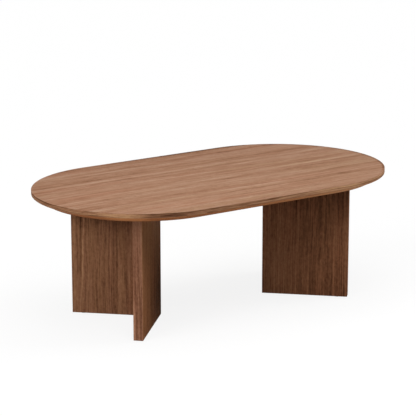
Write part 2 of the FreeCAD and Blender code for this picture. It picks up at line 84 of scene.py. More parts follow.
class Value:
    """A number in a node tree. Arithmetic on it adds Math nodes."""

    def __init__(self, graph: "Graph", socket: Socket) -> None:
        """Wraps an output socket of a graph."""
        self.graph = graph
        self.socket = socket

    def math(self, operation: str, *numbers: "Number") -> "Value":
        """Result of one Math node on these numbers."""
        sockets = dict(enumerate(numbers))
        return self.graph.value("ShaderNodeMath", {"operation": operation}, sockets)

    def __add__(self, other: "Number") -> "Value":
        """Sum."""
        return self.math("ADD", self, other)

    def __radd__(self, other: float) -> "Value":
        """Sum with a plain number on the left."""
        return self.math("ADD", other, self)

    def __sub__(self, other: "Number") -> "Value":
        """Difference."""
        return self.math("SUBTRACT", self, other)

    def __rsub__(self, other: float) -> "Value":
        """Difference from a plain number."""
        return self.math("SUBTRACT", other, self)

    def __mul__(self, other: "Number") -> "Value":
        """Product."""
        return self.math("MULTIPLY", self, other)

    def __rmul__(self, other: float) -> "Value":
        """Product with a plain number on the left."""
        return self.math("MULTIPLY", other, self)

    def __truediv__(self, other: "Number") -> "Value":
        """Quotient."""
        return self.math("DIVIDE", self, other)

    def __rtruediv__(self, other: float) -> "Value":
        """Quotient of a plain number by this value."""
        return self.math("DIVIDE", other, self)

    def root(self) -> "Value":
        """Square root."""
        return self.math("SQRT", self)

    def floor(self) -> "Value":
        """The whole number below."""
        return self.math("FLOOR", self)

    def sine(self) -> "Value":
        """Sine of an angle in radians."""
        return self.math("SINE", self)

    def cosine(self) -> "Value":
        """Cosine of an angle in radians."""
        return self.math("COSINE", self)

    def size(self) -> "Value":
        """The value without its sign."""
        return self.math("ABSOLUTE", self)

    def above(self, limit: "Number") -> "Value":
        """One where the value is above the limit, else zero."""
        return self.math("GREATER_THAN", self, limit)

    def at_most(self, limit: "Number") -> "Value":
        """The smaller of the value and the limit."""
        return self.math("MINIMUM", self, limit)

    def at_least(self, limit: "Number") -> "Value":
        """The larger of the value and the limit."""
        return self.math("MAXIMUM", self, limit)

    def smooth(self, low: float, high: float) -> "Value":
        """Rises smoothly from zero at low to one at high."""
        sockets = {"Value": self, "From Min": low, "From Max": high}
        return self.graph.value("ShaderNodeMapRange", {"interpolation_type": "SMOOTHSTEP"}, sockets)


Number = Union[Value, float]
Feed = Union[Value, Socket, float, int, str, tuple]


class Graph:
    """A node tree, with the one method that adds nodes to it."""

    def __init__(self, tree: bpy.types.NodeTree) -> None:
        """Wraps a node tree."""
        self.tree = tree

    def node(
        self, kind: str, settings: Optional[dict] = None, sockets: Optional[dict] = None
    ) -> bpy.types.Node:
        """Adds a node, sets it, and then feeds its inputs.

        Args:
            kind: Blender's type name of the node.
            settings: the node's properties; stops are a ramp's places and colours,
                and items is the number of inputs of an Index Switch.
            sockets: values or links by the inputs' names or numbers.

        Returns:
            The new node.
        """
        made = self.tree.nodes.new(kind)
        for name, value in (settings or {}).items():
            if name == "stops":
                self._set_stops(made.color_ramp, value)
            elif name == "items":
                while len(made.index_switch_items) < value:
                    made.index_switch_items.new()
            else:
                setattr(made, name, value)
        for key, value in (sockets or {}).items():
            self.feed(made.inputs[key], value)
        return made

    @staticmethod
    def _set_stops(ramp: bpy.types.ColorRamp, stops: list[Stop]) -> None:
        """Gives a colour ramp its places and colours.

        Args:
            ramp: the ramp of a new node.
            stops: places from zero to one, with their colours.
        """
        while len(ramp.elements) < len(stops):
            ramp.elements.new(1.0)
        for element, (place, colour) in zip(ramp.elements, stops):
            element.position = place
            element.color = (*colour, 1.0)

    def feed(self, socket: Socket, value: Feed) -> None:
        """Links or sets one input socket.

        Args:
            socket: the input.
            value: what it is linked to, or its constant.
        """
        if isinstance(value, Value):
            value = value.socket
        if isinstance(value, Socket):
            self.tree.links.new(value, socket)
        else:
            socket.default_value = value

    def value(self, kind: str, settings: Optional[dict] = None, sockets: Optional[dict] = None) -> Value:
        """First output of a new node, as a value."""
        return Value(self, self.node(kind, settings, sockets).outputs[0])

    def vector(self, x: Number, y: Number, z: Number) -> Socket:
        """A vector from three numbers."""
        return self.node("ShaderNodeCombineXYZ", None, {0: x, 1: y, 2: z}).outputs[0]

    def parts(self, vector: Socket) -> list[Value]:
        """The three numbers of a vector."""
        made = self.node("ShaderNodeSeparateXYZ", None, {0: vector})
        return [Value(self, socket) for socket in made.outputs]


class Surface(Graph):
    """The node tree of one material, with the textures that the finishes share."""

    def __init__(self, name: str) -> None:
        """Makes an empty material.

        Args:
            name: name of the material.
        """
        self.material = bpy.data.materials.new(name)
        self.material.use_nodes = True
        super().__init__(self.material.node_tree)
        self.tree.nodes.clear()

    def place(self) -> list[Value]:
        """Object coordinates in millimetres."""
        coordinates = self.node("ShaderNodeTexCoord").outputs["Object"]
        return [part * (1.0 / MM) for part in self.parts(coordinates)]

    def noise(self, x: Number, y: Number, z: Number, detail: float = 2.0, rough: float = 0.5) -> Value:
        """Cloud noise from zero to one, at a place that is measured in its cells."""
        sockets = {"Vector": self.vector(x, y, z), "Scale": 1.0, "Detail": detail, "Roughness": rough}
        return self.value("ShaderNodeTexNoise", {"noise_dimensions": "3D"}, sockets)

    def speckle(self, cell: Direction, detail: float = 2.0, rough: float = 0.5) -> Value:
        """Cloud noise on Object coordinates, in cells of this size in millimetres."""
        x, y, z = (part / length for part, length in zip(self.place(), cell))
        return self.noise(x, y, z, detail, rough)

    def ramp(self, factor: Number, stops: list[Stop]) -> Socket:
        """A colour that runs through the stops as the factor rises."""
        return self.node("ShaderNodeValToRGB", {"stops": stops}, {0: factor}).outputs[0]

    def two_tone(self, factor: Number, first: Colour, second: Colour) -> Socket:
        """A colour that runs from the first to the second as the factor rises."""
        return self.ramp(factor, [(0.0, first), (1.0, second)])

    def blend(self, factor: Number, first: Feed, second: Feed, how: str = "MIX") -> Socket:
        """Mixes two colours in one of Blender's ways, with this share of the second."""
        sockets = {0: factor, 6: rgba(first), 7: rgba(second)}
        return self.node("ShaderNodeMix", {"data_type": "RGBA", "blend_type": how}, sockets).outputs[2]

    def tinted(self, factor: Number, colour: Socket, tint: Colour) -> Socket:
        """A colour multiplied by a tint, as far as the factor says."""
        return self.blend(factor, colour, tint, "MULTIPLY")

    def finish(
        self, colour: Feed, rough: Number, height: Value, relief: float, fixed: Optional[dict] = None
    ) -> Material:
        """Closes the material with a Principled shader.

        Args:
            colour: base colour.
            rough: roughness.
            height: relief pattern.
            relief: millimetres for a step of one in that pattern.
            fixed: constants for the shader's own sockets.

        Returns:
            The material.
        """
        bump = {"Height": height, "Strength": 1.0, "Distance": relief * MM}
        normal = self.node("ShaderNodeBump", None, bump).outputs[0]
        sockets = {"Base Color": colour, "Roughness": rough, "Normal": normal, **(fixed or {})}
        shader = self.node("ShaderNodeBsdfPrincipled", None, sockets)
        self.node("ShaderNodeOutputMaterial", None, {"Surface": shader.outputs[0]})
        return self.material


def rgba(colour: Feed) -> Feed:
    """A plain colour with its fourth number, or the link as it is."""
    return (*colour, 1.0) if isinstance(colour, tuple) else colour


class Recipe(Graph):
    """A Geometry Nodes tree with named inputs, which makes plain meshes."""

    def __init__(self, name: str, sizes: tuple[str, ...]) -> None:
        """Makes the tree and its inputs.

        Args:
            name: name of the tree.
            sizes: names of its inputs, each a length in metres or an angle in radians.
        """
        super().__init__(bpy.data.node_groups.new(name, "GeometryNodeTree"))
        make_socket = self.tree.interface.new_socket
        kinds = dict.fromkeys(sizes, "NodeSocketFloat") | {"Material": "NodeSocketMaterial"}
        self.codes = {
            label: make_socket(label, in_out="INPUT", socket_type=kind).identifier
            for label, kind in kinds.items()
        }
        make_socket("Geometry", in_out="OUTPUT", socket_type="NodeSocketGeometry")
        self.entry = self.node("NodeGroupInput")

    def given(self, label: str) -> Value:
        """The value of a named input."""
        return Value(self, self.entry.outputs[label])

    def pick(self, row: Value, choices: list[Value]) -> Value:
        """Picks by number.

        Args:
            row: a whole number; the margin is added because the switch rounds down.
            choices: what is picked for row zero, one and so on.

        Returns:
            The choice with that number.
        """
        settings = {"data_type": "FLOAT", "items": len(choices)}
        sockets = dict(enumerate([row + PICK_MARGIN, *choices]))
        return self.value("GeometryNodeIndexSwitch", settings, sockets)

    def grid(self, columns: int, rows: int) -> tuple[Socket, Value, Value]:
        """A sheet of faces to be put in shape.

        Args:
            columns: points along it.
            rows: points across it.

        Returns:
            The sheet, and the column and row number of each point.
        """
        sockets = {"Size X": 1.0, "Size Y": 1.0, "Vertices X": columns, "Vertices Y": rows}
        sheet = self.node("GeometryNodeMeshGrid", None, sockets).outputs[0]
        x, y, _ = self.parts(self.node("GeometryNodeInputPosition").outputs[0])
        column = ((x + 0.5) * (columns - 1.0) + 0.5).floor()
        row = ((y + 0.5) * (rows - 1.0) + 0.5).floor()
        return sheet, column, row

    def cap(self, points: int) -> tuple[Socket, Value]:
        """One face with this many corners, and the number of each corner."""
        made = self.node("GeometryNodeMeshCircle", {"fill_type": "NGON"}, {"Vertices": points})
        return made.outputs[0], self.value("GeometryNodeInputIndex")

    def tube(self, columns: int, rows: int) -> list[tuple[Socket, Value, Value]]:
        """The wall of a bar and the faces on its two ends.

        Args:
            columns: points along the bar.
            rows: points round its section, of which the last lies on the first.

        Returns:
            Three sheets, each with the column and row number of its points.
        """
        sheets = [self.grid(columns, rows)]
        for column in (0.0, columns - 1.0):
            face, corner = self.cap(rows - 1)
            sheets.append((face, corner * 0.0 + column, corner))
        return sheets

    def shape(self, sheet: Socket, place: Socket) -> Socket:
        """Moves the points of a sheet to their places."""
        sockets = {"Geometry": sheet, "Position": place}
        return self.node("GeometryNodeSetPosition", None, sockets).outputs[0]

    def join(self, pieces: list[Socket]) -> Socket:
        """Joins sheets and merges the points that meet.

        Args:
            pieces: the sheets.

        Returns:
            The joined geometry.
        """
        joined = self.node("GeometryNodeJoinGeometry")
        for piece in pieces:
            self.feed(joined.inputs[0], piece)
        sockets = {"Geometry": joined.outputs[0], "Distance": MERGE_DISTANCE}
        return self.node("GeometryNodeMergeByDistance", None, sockets).outputs[0]

    def close(self, geometry: Socket) -> "Recipe":
        """Ends the tree with real geometry in its material.

        Args:
            geometry: what the tree makes.

        Returns:
            The recipe itself.
        """
        real = self.node("GeometryNodeRealizeInstances", None, {0: geometry}).outputs[0]
        sockets = {"Geometry": real, "Material": self.entry.outputs["Material"]}
        dressed = self.node("GeometryNodeSetMaterial", None, sockets).outputs[0]
        self.node("NodeGroupOutput", None, {0: dressed})
        return self

    def make(
        self,
        name: str,
        material: Material,
        lengths: dict[str, float],
        angles: Optional[dict[str, float]] = None,
    ) -> Piece:
        """Evaluates the tree for one set of sizes.

        Args:
            name: name of the new piece.
            material: what the piece is dressed in.
            lengths: millimetres for each input that is a length.
            angles: radians for each input that is an angle.

        Returns:
            The piece, a plain mesh object at the origin.
        """
        holder = link_object(f"{name}_holder", bpy.data.meshes.new(f"{name}_holder"))
        modifier = holder.modifiers.new("recipe", "NODES")
        modifier.node_group = self.tree
        sizes = {label: length * MM for label, length in lengths.items()} | (angles or {})
        for label, number in sizes.items():
            modifier[self.codes[label]] = float(number)
        modifier[self.codes["Material"]] = material
        depsgraph = bpy.context.evaluated_depsgraph_get()
        mesh = bpy.data.meshes.new_from_object(holder.evaluated_get(depsgraph))
        bpy.data.objects.remove(holder)
        mesh.name = name
        return settle(link_object(name, mesh))


# Meshes


def link_object(name: str, data: bpy.types.ID) -> Piece:
    """Makes an object of a mesh, a lamp or a camera and puts it in the scene.

    Args:
        name: name of the object.
        data: what the object shows.

    Returns:
        The object.
    """
    made = bpy.data.objects.new(name, data)
    bpy.context.scene.collection.objects.link(made)
    return made


def mesh_of(shape: bmesh.types.BMesh, name: str) -> Mesh:
    """Turns a worked shape into a mesh and frees it.

    Args:
        shape: the worked shape.
        name: name of the mesh.

    Returns:
        The mesh.
    """
    mesh = bpy.data.meshes.new(name)
    shape.to_mesh(mesh)
    shape.free()
    return mesh


def shade(mesh: Mesh) -> None:
    """Shades the round parts of a mesh smooth and keeps its sharp edges."""
    mesh.shade_smooth()
    mesh.set_sharp_from_angle(angle=math.radians(SHARP_ANGLE))


def settle(piece: Piece) -> Piece:
    """Turns a closed piece's faces outwards and shades its round parts smooth.

    Args:
        piece: a closed mesh object.

    Returns:
        The same piece.
    """
    shape = bmesh.new()
    shape.from_mesh(piece.data)
    bmesh.ops.recalc_face_normals(shape, faces=shape.faces)
    shape.to_mesh(piece.data)
    shape.free()
    shade(piece.data)
    return piece


def place_piece(piece: Piece, body: str, node: str) -> None:
    """Ties a finished piece to the frame.

    Args:
        piece: the finished piece.
        body: name of the body that it rides.
        node: CAD node that it stands for.
    """
    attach(piece, body)
    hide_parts(node)
    LOG.info("%s: %d faces, rides %s", piece.name, len(piece.data.polygons), body)


def dress_node(name: str, material: Material) -> None:
    """Gives a CAD node that no piece replaces its material.

    Args:
        name: name of the CAD node.
        material: what it is dressed in.
    """
    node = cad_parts[name]
    node.data.materials.clear()
    node.data.materials.append(material)
    LOG.info("%s: CAD node in %s", name, material.name)


def eased_copy(node: str, name: str, easing: float, chosen: EdgeTest) -> Piece:
    """Copies a CAD node's shape and takes the sharpness off some of its edges.

    Args:
        node: name of the CAD node.
        name: name of the new piece.
        easing: width of the eased edges, in millimetres.
        chosen: tells which edges are eased.

    Returns:
        The new piece.
    """
    shape = bmesh.new()
    shape.from_mesh(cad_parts[node].data)
    bmesh.ops.remove_doubles(shape, verts=shape.verts, dist=MERGE_DISTANCE)
    flat = math.radians(FLAT_ANGLE)
    bmesh.ops.dissolve_limit(shape, angle_limit=flat, verts=shape.verts, edges=shape.edges)
    bmesh.ops.bevel(
        shape,
        geom=[edge for edge in shape.edges if chosen(edge)],
        offset=easing * MM,
        offset_type="OFFSET",
        segments=EASING_STEPS,
        profile=0.5,
        affect="EDGES",
        clamp_overlap=True,
    )
    return settle(link_object(name, mesh_of(shape, name)))


class Section(Enum):
    """Outline of one ring of a turned piece."""

    ROUND = "round"
    HEXAGON = "hexagon"


@dataclass(frozen=True)
class Ring:
    """One ring of a turned piece: radius, or half its width across flats, and height."""

    radius: float
    height: float
    section: Section = Section.ROUND

    def reach(self, angle: float) -> float:
        """Distance of the outline from the axis, in a direction given in radians."""
        flat = math.cos(angle % (math.pi / 3) - math.pi / 6)
        return self.radius / flat if self.section is Section.HEXAGON else self.radius


def turned_mesh(
    name: str,
    rings: list[Ring],
    centre: tuple[float, float] = (0.0, 0.0),
    hollow: bool = False,
    steps: int = 48,
) -> Mesh:
    """Turns a closed profile about an upright axis.

    Args:
        name: name of the mesh.
        rings: the profile from ring to ring; a radius of zero is a point on the axis.
        centre: place of the axis, in millimetres.
        hollow: true where the last ring joins the first.
        steps: points round a ring.

    Returns:
        The mesh, in metres.
    """
    shape = bmesh.new()
    angles = [2 * math.pi * step / steps for step in range(steps)]
    loops = []
    for ring in rings:
        loop = []
        for angle in angles if ring.radius > 0 else angles[:1]:
            reach = ring.reach(angle)
            x = centre[0] + reach * math.cos(angle)
            y = centre[1] + reach * math.sin(angle)
            loop.append(shape.verts.new(Vector((x, y, ring.height)) * MM))
        loops.append(loop)
    pairs = list(zip(loops, loops[1:]))
    if hollow:
        pairs.append((loops[-1], loops[0]))
    for low, high in pairs:
        for step in range(steps):
            following = (step + 1) % steps
            corners = [low[step % len(low)], low[following % len(low)]]
            corners += [high[following % len(high)], high[step % len(high)]]
            shape.faces.new(list(dict.fromkeys(corners)))
    return mesh_of(shape, name)


# Walnut


class GrainSource(Enum):
    """Where a walnut pattern takes its directions from."""

    OBJECT = "object coordinates"
    SWEPT = "grain attribute"


def hill(measured: Value, place: float, width: float) -> Value:
    """One at a place, falling smoothly to zero at this distance from it."""
    return 1.0 - ((measured - place) / width).size().smooth(0.0, 1.0)


@dataclass(frozen=True)
class Mark:
    """A lighter or darker streak or patch: its place and half its width, in millimetres.

    A streak with a slope drifts to one side as the grain runs on.
    """

    place: float
    width: float
    strength: float
    slope: float = 0.0

    def on(self, measured: Value) -> Value:
        """The mark's share in the tone at a measured place."""
        return hill(measured, self.place, self.width) * self.strength


@dataclass(frozen=True)
class Spot:
    """A mark that ends along the grain and across it, in millimetres."""

    along: float
    length: float
    across: float
    width: float
    strength: float

    def on(self, along: Value, across: Value) -> Value:
        """The spot's share in the tone at a place."""
        share = hill(along, self.along, self.length) * hill(across, self.across, self.width)
        return share * self.strength


@dataclass(frozen=True)
class Rim:
    """A darker rim round the right end of a stadium, in millimetres.

    It is full over a share of its width, and fades towards the front between two
    shares of the radius.
    """

    half_straight: float
    radius: float
    width: float
    strength: float
    full_width: float = 0.4
    faded: float = -0.9
    unfaded: float = -0.55

    def on(self, along: Value, across: Value) -> Value:
        """The rim's share in the tone.

        Args:
            along: place along the grain.
            across: place across the grain.

        Returns:
            The share to be added.
        """
        past = (along - self.half_straight).at_least(0.0)
        reach = (past * past + across * across).root()
        edge = reach.smooth(self.radius - self.width, self.radius - self.full_width * self.width)
        right = along.smooth(-self.half_straight, self.half_straight)
        rear = across.smooth(self.faded * self.radius, self.unfaded * self.radius)
        return edge * right * rear * self.strength


@dataclass(frozen=True)
class WarmthAndPaintedLight:
    """A warmer, lighter colour past a line across the grain, in millimetres; the lighter part is painted
    light from the floor on the bevel, which faces down.
    """

    start: float
    fade: Mark
    run: float = 3.0
    lift: float = 0.27
    tint: Colour = (1.08, 0.76, 0.53)

    def share(self, across: Value) -> Value:
        """How far the warmer colour has set in, from zero to one."""
        return across.smooth(self.start, self.start + self.run)


@dataclass(frozen=True)
class Layer:
    """Noise in the wood, with the lengths of its cells in two directions.

    Its mask rises from zero at low to one at high.
    """

    first: float
    second: float
    shift: float
    detail: float = 2.0
    rough: float = 0.5
    low: float = -0.2
    high: float = 0.2
    seed_step: float = 3.1

    def depth(self, seed: float) -> float:
        """Third coordinate of the noise in a piece of wood with this seed."""
        return seed * self.seed_step + self.shift


# Layers that run along and across the grain, in millimetres
DRIFT = Layer(560.0, 190.0, 0.0)
RIPPLE = Layer(130.0, 42.0, 5.0)
FADE = Layer(180.0, 45.0, 43.0, 1.0, low=-0.15, high=0.1)
MOTTLE = Layer(26.0, 17.0, 47.0)
BROAD_HUE = Layer(800.0, 55.0, 2.0, seed_step=5.3)
NARROW_HUE = Layer(260.0, 10.0, 5.0, seed_step=5.3)

# Layers that follow the growth rings: widths in bands, lengths in millimetres
SPREAD = Layer(4.0, 2000.0, 7.0, 1.0)
BANDS = Layer(1.0, 1200.0, 11.0, 1.0)
LINES = Layer(0.3, 620.0, 17.0, low=-0.2, high=0.05)
LIVELY = Layer(2.0, 500.0, 37.0, 1.0)

# Layers of fine grain: the first two in fine widths, the others in millimetres
STREAKS = Layer(1.0, 75.0, 23.0, 2.0, 0.6, -0.17, 0.17)
FLECKS = Layer(1.1, 16.0, 41.0)
FIBRES = Layer(1.1, 60.0, 29.0, 2.0, 0.6)
PORES = Layer(0.5, 9.0, 31.0, 1.0, low=0.08, high=0.16)

# Tones of the four shades of a walnut, and the tones at which its colours end
SHADE_TONES = (0.0, 0.32, 0.58, 1.0)
TONE_ENDS = (-0.2, 1.5)

PORE_TINT = (0.42, 0.34, 0.3)
PINKISH = (1.03, 0.975, 0.965)
OLIVE = (0.98, 1.0, 0.95)
HUE_REACH = 0.16


def run_on(first: Stop, second: Stop, place: float) -> Stop:
    """The stop at a place on the line through two stops."""
    share = (place - first[0]) / (second[0] - first[0])
    return place, tuple(low + (high - low) * share for low, high in zip(first[1], second[1]))


def dot(place: list[Value], direction: Direction) -> Value:
    """How far a place lies in a direction of length one."""
    parts = [value * share for value, share in zip(place, direction) if share]
    return sum(parts[1:], parts[0])


@dataclass(frozen=True)
class Figure:
    """How the growth rings run through one piece of walnut, in millimetres; on some pieces its marks are
    painted light and shade.
    """

    seed: float
    pith_across: float = -300.0
    pith_depth: float = 90.0
    tilt: float = 0.04
    band: float = 30.0
    waver: float = 16.0
    drift_share: float = 2.0
    ripple_share: float = 0.55
    streaks: tuple[Mark, ...] = ()
    grades: tuple[Mark, ...] = ()
    patches: tuple[Mark, ...] = ()
    spots: tuple[Spot, ...] = ()
    rim: Optional[Rim] = None
    tint: Optional[Colour] = None


class Grain:
    """Where the points of one piece of wood lie, in its material's tree."""

    def __init__(self, surface: Surface, figure: Figure, along: Value, across: Value) -> None:
        """Takes the places in the wood and lets its grain waver.

        Args:
            surface: the material's tree.
            figure: how the growth rings run.
            along: place along the grain, in millimetres.
            across: place across the grain, in millimetres.
        """
        self.surface = surface
        self.seed = figure.seed
        self.along = along
        self.across = across
        drift = self.layer(DRIFT, along, across) * (figure.drift_share * figure.waver)
        ripple = self.layer(RIPPLE, along, across) * (figure.ripple_share * figure.waver)
        self.bent = across + drift + ripple

    def layer(self, layer: Layer, first: Value, second: Value) -> Value:
        """A layer's noise at a place, about zero."""
        place = (first / layer.first, second / layer.second, layer.depth(self.seed))
        return self.surface.noise(*place, layer.detail, layer.rough) - 0.5

    def mask(self, layer: Layer, first: Value, second: Value) -> Value:
        """A layer's mask at a place, from zero to one."""
        return self.layer(layer, first, second).smooth(layer.low, layer.high)


@dataclass(frozen=True)
class Walnut:
    """Satin lacquered walnut, with its grain along one direction.

    The shares say how much each layer adds to the tone.
    """

    name: str
    figure: Figure
    along: Direction
    across: Direction
    shades: tuple[Colour, Colour, Colour, Colour]
    source: GrainSource = GrainSource.OBJECT
    start: float = 0.0
    ground: float = 0.575
    spread: float = 2.2
    band_share: float = 0.4
    line_share: float = 0.7
    faint_lines: float = 0.3
    strong_lines: float = 1.6
    vein_share: float = 0.07
    vein_width: float = 0.05
    fine: float = 3.2
    streak_share: float = 0.32
    faint_marks: float = 0.45
    fleck_share: float = 0.5
    flecks: Layer = FLECKS
    fibre_share: float = 0.5
    fibre_relief: float = 0.5
    mottle_share: float = 0.0
    mottle: Layer = MOTTLE
    broad_share: float = 0.6
    pore_share: float = 0.55
    rough: float = 0.76
    pore_rough: float = 0.1
    tone_gloss: float = 0.08
    relief: float = 0.03
    sheen: float = 0.02
    bevel_warmth_and_light: Optional[WarmthAndPaintedLight] = None

    def material(self) -> Material:
        """Builds the material.

        Returns:
            The material.
        """
        surface = Surface(self.name)
        grain = Grain(surface, self.figure, *self._directions(surface))
        rings, lines = self._rings(grain)
        fibres = grain.layer(FIBRES, grain.bent, grain.along)
        pores = grain.mask(PORES, grain.bent, grain.along) * lines.smooth(LINES.low, LINES.high)
        tone = rings + self._fine_grain(grain) + fibres * self.fibre_share
        tone = self._marked(grain, tone)
        colour = self._drift(grain, self._shade(surface, tone))
        if self.bevel_warmth_and_light is not None:
            warm = self.bevel_warmth_and_light.share(grain.across) * (1.0 - self.bevel_warmth_and_light.fade.on(grain.along))
            colour = surface.tinted(warm, colour, self.bevel_warmth_and_light.tint)
        if self.figure.tint is not None:
            colour = surface.tinted(1.0, colour, self.figure.tint)
        colour = surface.tinted(pores * self.pore_share, colour, PORE_TINT)
        rough = self.rough + pores * self.pore_rough - tone * self.tone_gloss
        height = fibres * self.fibre_relief - pores
        return surface.finish(colour, rough, height, self.relief, {"Specular IOR Level": self.sheen})

    def _directions(self, surface: Surface) -> tuple[Value, Value]:
        """Finds the grain's directions.

        Args:
            surface: the material's tree.

        Returns:
            The places along and across the grain, in millimetres.
        """
        if self.source is GrainSource.SWEPT:
            settings = {"attribute_name": "grain", "attribute_type": "GEOMETRY"}
            stored = surface.node("ShaderNodeAttribute", settings).outputs["Vector"]
            along, across, _ = surface.parts(stored)
            return along * (1.0 / MM), across * (1.0 / MM)
        place = surface.place()
        return dot(place, self.along), dot(place, self.across) - self.start

    def _rings(self, grain: Grain) -> tuple[Value, Value]:
        """Light and dark of the growth rings.

        Args:
            grain: the places in the wood.

        Returns:
            The tone, and the lines in it that also hold the pores.
        """
        side = grain.bent - self.figure.pith_across
        deep = grain.along * self.figure.tilt + self.figure.pith_depth
        rings = (side * side + deep * deep).root() / self.figure.band
        rings = rings + grain.layer(SPREAD, rings, grain.along) * self.spread
        bands = grain.layer(BANDS, rings, grain.along)
        lines = grain.layer(LINES, rings, grain.along)
        lively = grain.mask(LIVELY, rings, grain.along)
        strength = self.faint_lines + lively * (self.strong_lines - self.faint_lines)
        veins = hill(bands, 0.0, self.vein_width)
        tone = self.ground + bands * self.band_share - veins * self.vein_share
        return tone + lines * strength * self.line_share, lines

    def _fine_grain(self, grain: Grain) -> Value:
        """Light and dark of the fine streaks and flecks.

        Args:
            grain: the places in the wood.

        Returns:
            The share to be added to the tone.
        """
        across = grain.bent / self.fine
        along = grain.along / self.fine
        streaks = grain.mask(STREAKS, across, along) - 0.5
        flecks = grain.layer(self.flecks, across, along)
        return streaks * self.streak_share + flecks * self.fleck_share

    def _marked(self, grain: Grain, tone: Value) -> Value:
        """Adds the marks: the wood's own streaks and patches, and on some pieces painted light and shade.

        Args:
            grain: the places in the wood.
            tone: light and dark without the marks.

        Returns:
            The tone with the marks.
        """
        figure = self.figure
        along, across = grain.along, grain.across
        # On the bevel the tone is raised: painted light from the floor.
        if self.bevel_warmth_and_light is not None:
            tone = tone + self.bevel_warmth_and_light.share(across) * self.bevel_warmth_and_light.lift
        if figure.streaks:
            fade = self.faint_marks + grain.mask(FADE, along, across) * (1.0 - self.faint_marks)
            for mark in figure.streaks:
                tone = tone + mark.on(grain.bent - along * mark.slope) * fade
        for mark in figure.grades:
            tone = tone + mark.on(across)
        for mark in figure.patches:
            tone = tone + mark.on(along)
        for spot in figure.spots:
            tone = tone + spot.on(along, grain.bent)
        if figure.rim is not None:
            tone = tone + figure.rim.on(along, across)
        if self.mottle_share:
            tone = tone + grain.layer(self.mottle, along, across) * self.mottle_share
        return tone

    def _shade(self, surface: Surface, tone: Value) -> Socket:
        """Colours a tone, with the shades run on past the first and the last.

        Args:
            surface: the material's tree.
            tone: light and dark of the wood.

        Returns:
            The colour.
        """
        low, high = TONE_ENDS
        shades = list(zip(SHADE_TONES, self.shades))
        shades = [run_on(*shades[:2], low), *shades, run_on(*shades[-2:], high)]
        stops = [((place - low) / (high - low), shade) for place, shade in shades]
        return surface.ramp((tone - low) / (high - low), stops)

    def _drift(self, grain: Grain, colour: Socket) -> Socket:
        """Lets the hue wander between pinkish and olive along the grain.

        Args:
            grain: the places in the wood.
            colour: the colour before.

        Returns:
            The colour after.
        """
        broad = grain.layer(BROAD_HUE, grain.along, grain.across)
        narrow = grain.layer(NARROW_HUE, grain.along, grain.across)
        hue = broad * self.broad_share + narrow * (1.0 - self.broad_share)
        pink = grain.surface.tinted(hue.smooth(0.0, HUE_REACH), colour, PINKISH)
        return grain.surface.tinted(1.0 - hue.smooth(-HUE_REACH, 0.0), pink, OLIVE)


# Other finishes


@dataclass(frozen=True)
class Fibreboard:
    """Sanded edge and face of dense fibreboard."""

    name: str
    dark: Colour = (0.3, 0.2, 0.12)
    light: Colour = (0.52, 0.39, 0.26)
    contrast: Span = (0.3, 0.7)
    fibre_cell: Direction = (1.4, 1.4, 0.6)
    speck_cell: Direction = (0.5, 0.5, 0.5)
    fibre_share: float = 0.7
    rough: float = 0.8
    tone_gloss: float = 0.1
    relief: float = 0.08

    def material(self) -> Material:
        """Builds the material.

        Returns:
            The material.
        """
        surface = Surface(self.name)
        fibres = surface.speckle(self.fibre_cell, detail=3.0, rough=0.7)
        specks = surface.speckle(self.speck_cell)
        tone = fibres * self.fibre_share + specks * (1.0 - self.fibre_share)
        colour = surface.two_tone(tone.smooth(*self.contrast), self.dark, self.light)
        return surface.finish(colour, self.rough - tone * self.tone_gloss, tone, self.relief)


@dataclass(frozen=True)
class Beech:
    """Unfinished beech with its short flecks."""

    name: str = "beech"
    ground: Colour = (0.6, 0.4, 0.25)
    fleck: Colour = (0.42, 0.24, 0.13)
    contrast: Span = (0.5, 0.68)
    fleck_cell: Direction = (0.5, 4.0, 0.5)
    rough: float = 0.6
    fleck_rough: float = 0.1
    relief: float = 0.05

    def material(self) -> Material:
        """Builds the material.

        Returns:
            The material.
        """
        surface = Surface(self.name)
        flecks = surface.speckle(self.fleck_cell)
        colour = surface.two_tone(flecks.smooth(*self.contrast), self.ground, self.fleck)
        return surface.finish(colour, self.rough + flecks * self.fleck_rough, flecks, self.relief)


@dataclass(frozen=True)
class PowderCoat:
    """Matt black powder coat with its fine orange peel."""

    name: str = "black_powder_coat"
    low: Colour = (0.018, 0.018, 0.019)
    high: Colour = (0.042, 0.042, 0.044)
    contrast: Span = (0.3, 0.7)
    peel_cell: Direction = (0.7, 0.7, 0.7)
    cloud_cell: Direction = (18.0, 18.0, 18.0)
    peel_share: float = 0.6
    rough: float = 0.5
    cloud_rough: float = 0.2
    relief: float = 0.06

    def material(self) -> Material:
        """Builds the material.

        Returns:
            The material.
        """
        surface = Surface(self.name)
        peel = surface.speckle(self.peel_cell)
        cloud = surface.speckle(self.cloud_cell)
        tone = peel * self.peel_share + cloud * (1.0 - self.peel_share)
        colour = surface.two_tone(tone.smooth(*self.contrast), self.low, self.high)
        return surface.finish(colour, self.rough + cloud * self.cloud_rough, peel, self.relief)


@dataclass(frozen=True)
class ZincPlate:
    """Zinc plated steel with a dull spangle."""

    name: str = "zinc_plate"
    dull: Colour = (0.46, 0.46, 0.45)
    bright: Colour = (0.68, 0.68, 0.66)
    contrast: Span = (0.35, 0.65)
    spangle_cell: Direction = (2.2, 2.2, 2.2)
    scratch_cell: Direction = (0.25, 3.0, 0.25)
    rough: float = 0.3
    spangle_rough: float = 0.2
    scratch_rough: float = 0.1
    relief: float = 0.01

    def material(self) -> Material:
        """Builds the material.

        Returns:
            The material.
        """
        surface = Surface(self.name)
        spangle = surface.speckle(self.spangle_cell, detail=3.0, rough=0.6)
        scratch = surface.speckle(self.scratch_cell)
        colour = surface.two_tone(spangle.smooth(*self.contrast), self.dull, self.bright)
        rough = self.rough + spangle * self.spangle_rough + scratch * self.scratch_rough
        return surface.finish(colour, rough, scratch, self.relief, {"Metallic": 1.0})


